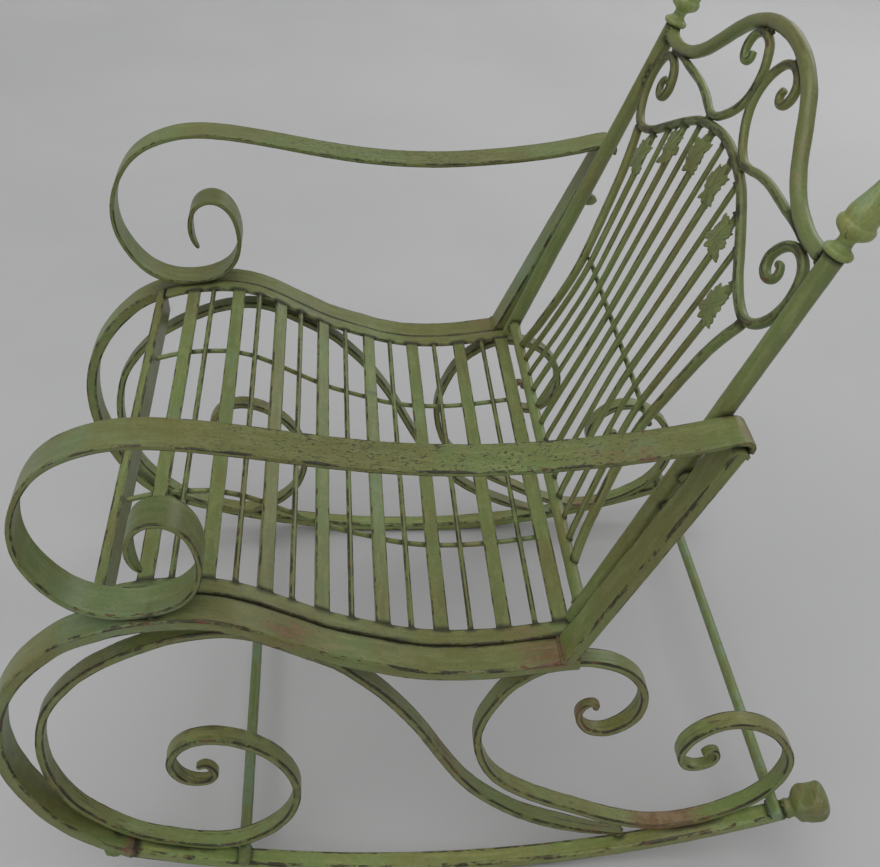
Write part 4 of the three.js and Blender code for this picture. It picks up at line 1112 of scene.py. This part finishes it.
# ------------------------------------------------------------------ stage
prof = [(0.02, 0.0)] + [(r, 0.0) for r in (0.5, 1.0, 1.6, 2.4, 3.4, 4.6, 5.6)]
prof += [(5.6 + 2.4 * math.sin(math.radians(a)), 2.4 - 2.4 * math.cos(math.radians(a))) for a in range(6, 91, 6)]
prof += [(8.0, 3.6), (8.0, 5.0), (8.0, 6.5)]
seg = 96
fv = [(r * math.cos(2 * math.pi * k / seg), r * math.sin(2 * math.pi * k / seg), z) for r, z in prof for k in range(seg)]
ff = [(a * seg + k, a * seg + (k + 1) % seg, (a + 1) * seg + (k + 1) % seg, (a + 1) * seg + k) for a in range(len(prof) - 1) for k in range(seg)]
ff.append(tuple(range(seg - 1, -1, -1)))
fm = bpy.data.meshes.new("floor")
fm.from_pydata(fv, [], ff)
bm = bmesh.new()
bm.from_mesh(fm)
bmesh.ops.recalc_face_normals(bm, faces=bm.faces)
if bm.faces[0].normal.z < 0:
    bmesh.ops.reverse_faces(bm, faces=bm.faces)
bm.to_mesh(fm)
bm.free()
fm.polygons.foreach_set("use_smooth", [True] * len(fm.polygons))
floor = bpy.data.objects.new("floor", fm)
bpy.context.scene.collection.objects.link(floor)
floor.location = (0, 0, -0.0005)
fmat = bpy.data.materials.new("floor")
fmat.use_nodes = True
N = Nodes(fmat)
tc = N.new("ShaderNodeTexCoord").outputs["Object"]
fcol = N.mix(N.ramp(N.noise(tc, 1.1, 4.0), 0.3, 0.7), (0.535, 0.535, 0.537), (0.575, 0.574, 0.575))
fb = N.new("ShaderNodeBsdfPrincipled")
fb.inputs["Roughness"].default_value = 0.85
fb.inputs["Specular IOR Level"].default_value = 0.15
# painted light: the backdrop is painted paler up its curved wall, rising to 0.86 grey at 2.2 m
sep = N.new("ShaderNodeSeparateXYZ")
N.link(tc, sep.inputs[0])
fcol = N.mix(N.ramp(sep.outputs[2], 0.0, 2.2), fcol, (0.86, 0.86, 0.86))
N.link(fcol, fb.inputs["Base Color"])
fo = N.new("ShaderNodeOutputMaterial")
N.link(fb.outputs[0], fo.inputs["Surface"])
fm.materials.append(fmat)


def area(name, loc, target, size, power, color=(1, 1, 1)):
    L = bpy.data.lights.new(name, "AREA")
    L.shape = "RECTANGLE"
    L.size, L.size_y = size
    L.energy = power
    L.color = color
    o = bpy.data.objects.new(name, L)
    bpy.context.scene.collection.objects.link(o)
    o.location = loc
    d = Vector(target) - Vector(loc)
    o.rotation_euler = d.to_track_quat("-Z", "Y").to_euler()
    return o


sun = bpy.data.lights.new("overhead", "SUN")
sun.energy = 1.16
sun.angle = math.radians(62)
so = bpy.data.objects.new("overhead", sun)
bpy.context.scene.collection.objects.link(so)
so.rotation_euler = Vector((-0.10, 0.16, -1.0)).to_track_quat("-Z", "Y").to_euler()
area("side", (3.0, -2.2, 2.0), (0, 0, 0.4), (2.0, 2.0), 17.0)
area("rear", (-2.6, 2.4, 2.4), (0, 0, 0.5), (2.2, 2.2), 24.0)
w = bpy.data.worlds.new("studio")
bpy.context.scene.world = w
w.use_nodes = True
bg = w.node_tree.nodes["Background"]
bg.inputs["Color"].default_value = (0.97, 0.98, 1.0, 1.0)
bg.inputs["Strength"].default_value = 0.25

# ------------------------------------------------------------------ camera
right = np.array([0.0806, 0.9967, 0.0])
right /= np.linalg.norm(right)
fwd = np.array([-0.7607, 0.0615, -0.6461])
fwd -= right * (fwd @ right)
fwd /= np.linalg.norm(fwd)
upv = np.cross(right, fwd)
turn = np.array([[1, 0, 0], [0, CT, -ST], [0, ST, CT]])
cols = [turn @ right, turn @ upv, turn @ -fwd]
pos = world(np.array([981.1, -79.3, 833.3]))
cam = bpy.data.cameras.new("camera")
cam.sensor_fit = "HORIZONTAL"
cam.sensor_width = 36.0
cam.lens = 1070.0 / 880.0 * 36.0
cam.clip_start = 0.02
co = bpy.data.objects.new("camera", cam)
bpy.context.scene.collection.objects.link(co)
M = Matrix.Identity(4)
for k in range(3):
    for r in range(3):
        M[r][k] = float(cols[k][r])
    M[k][3] = float(pos[k])
co.matrix_world = M
bpy.context.scene.camera = co
bpy.context.scene.view_settings.view_transform = "Standard"

bpy.context.view_layer.update()
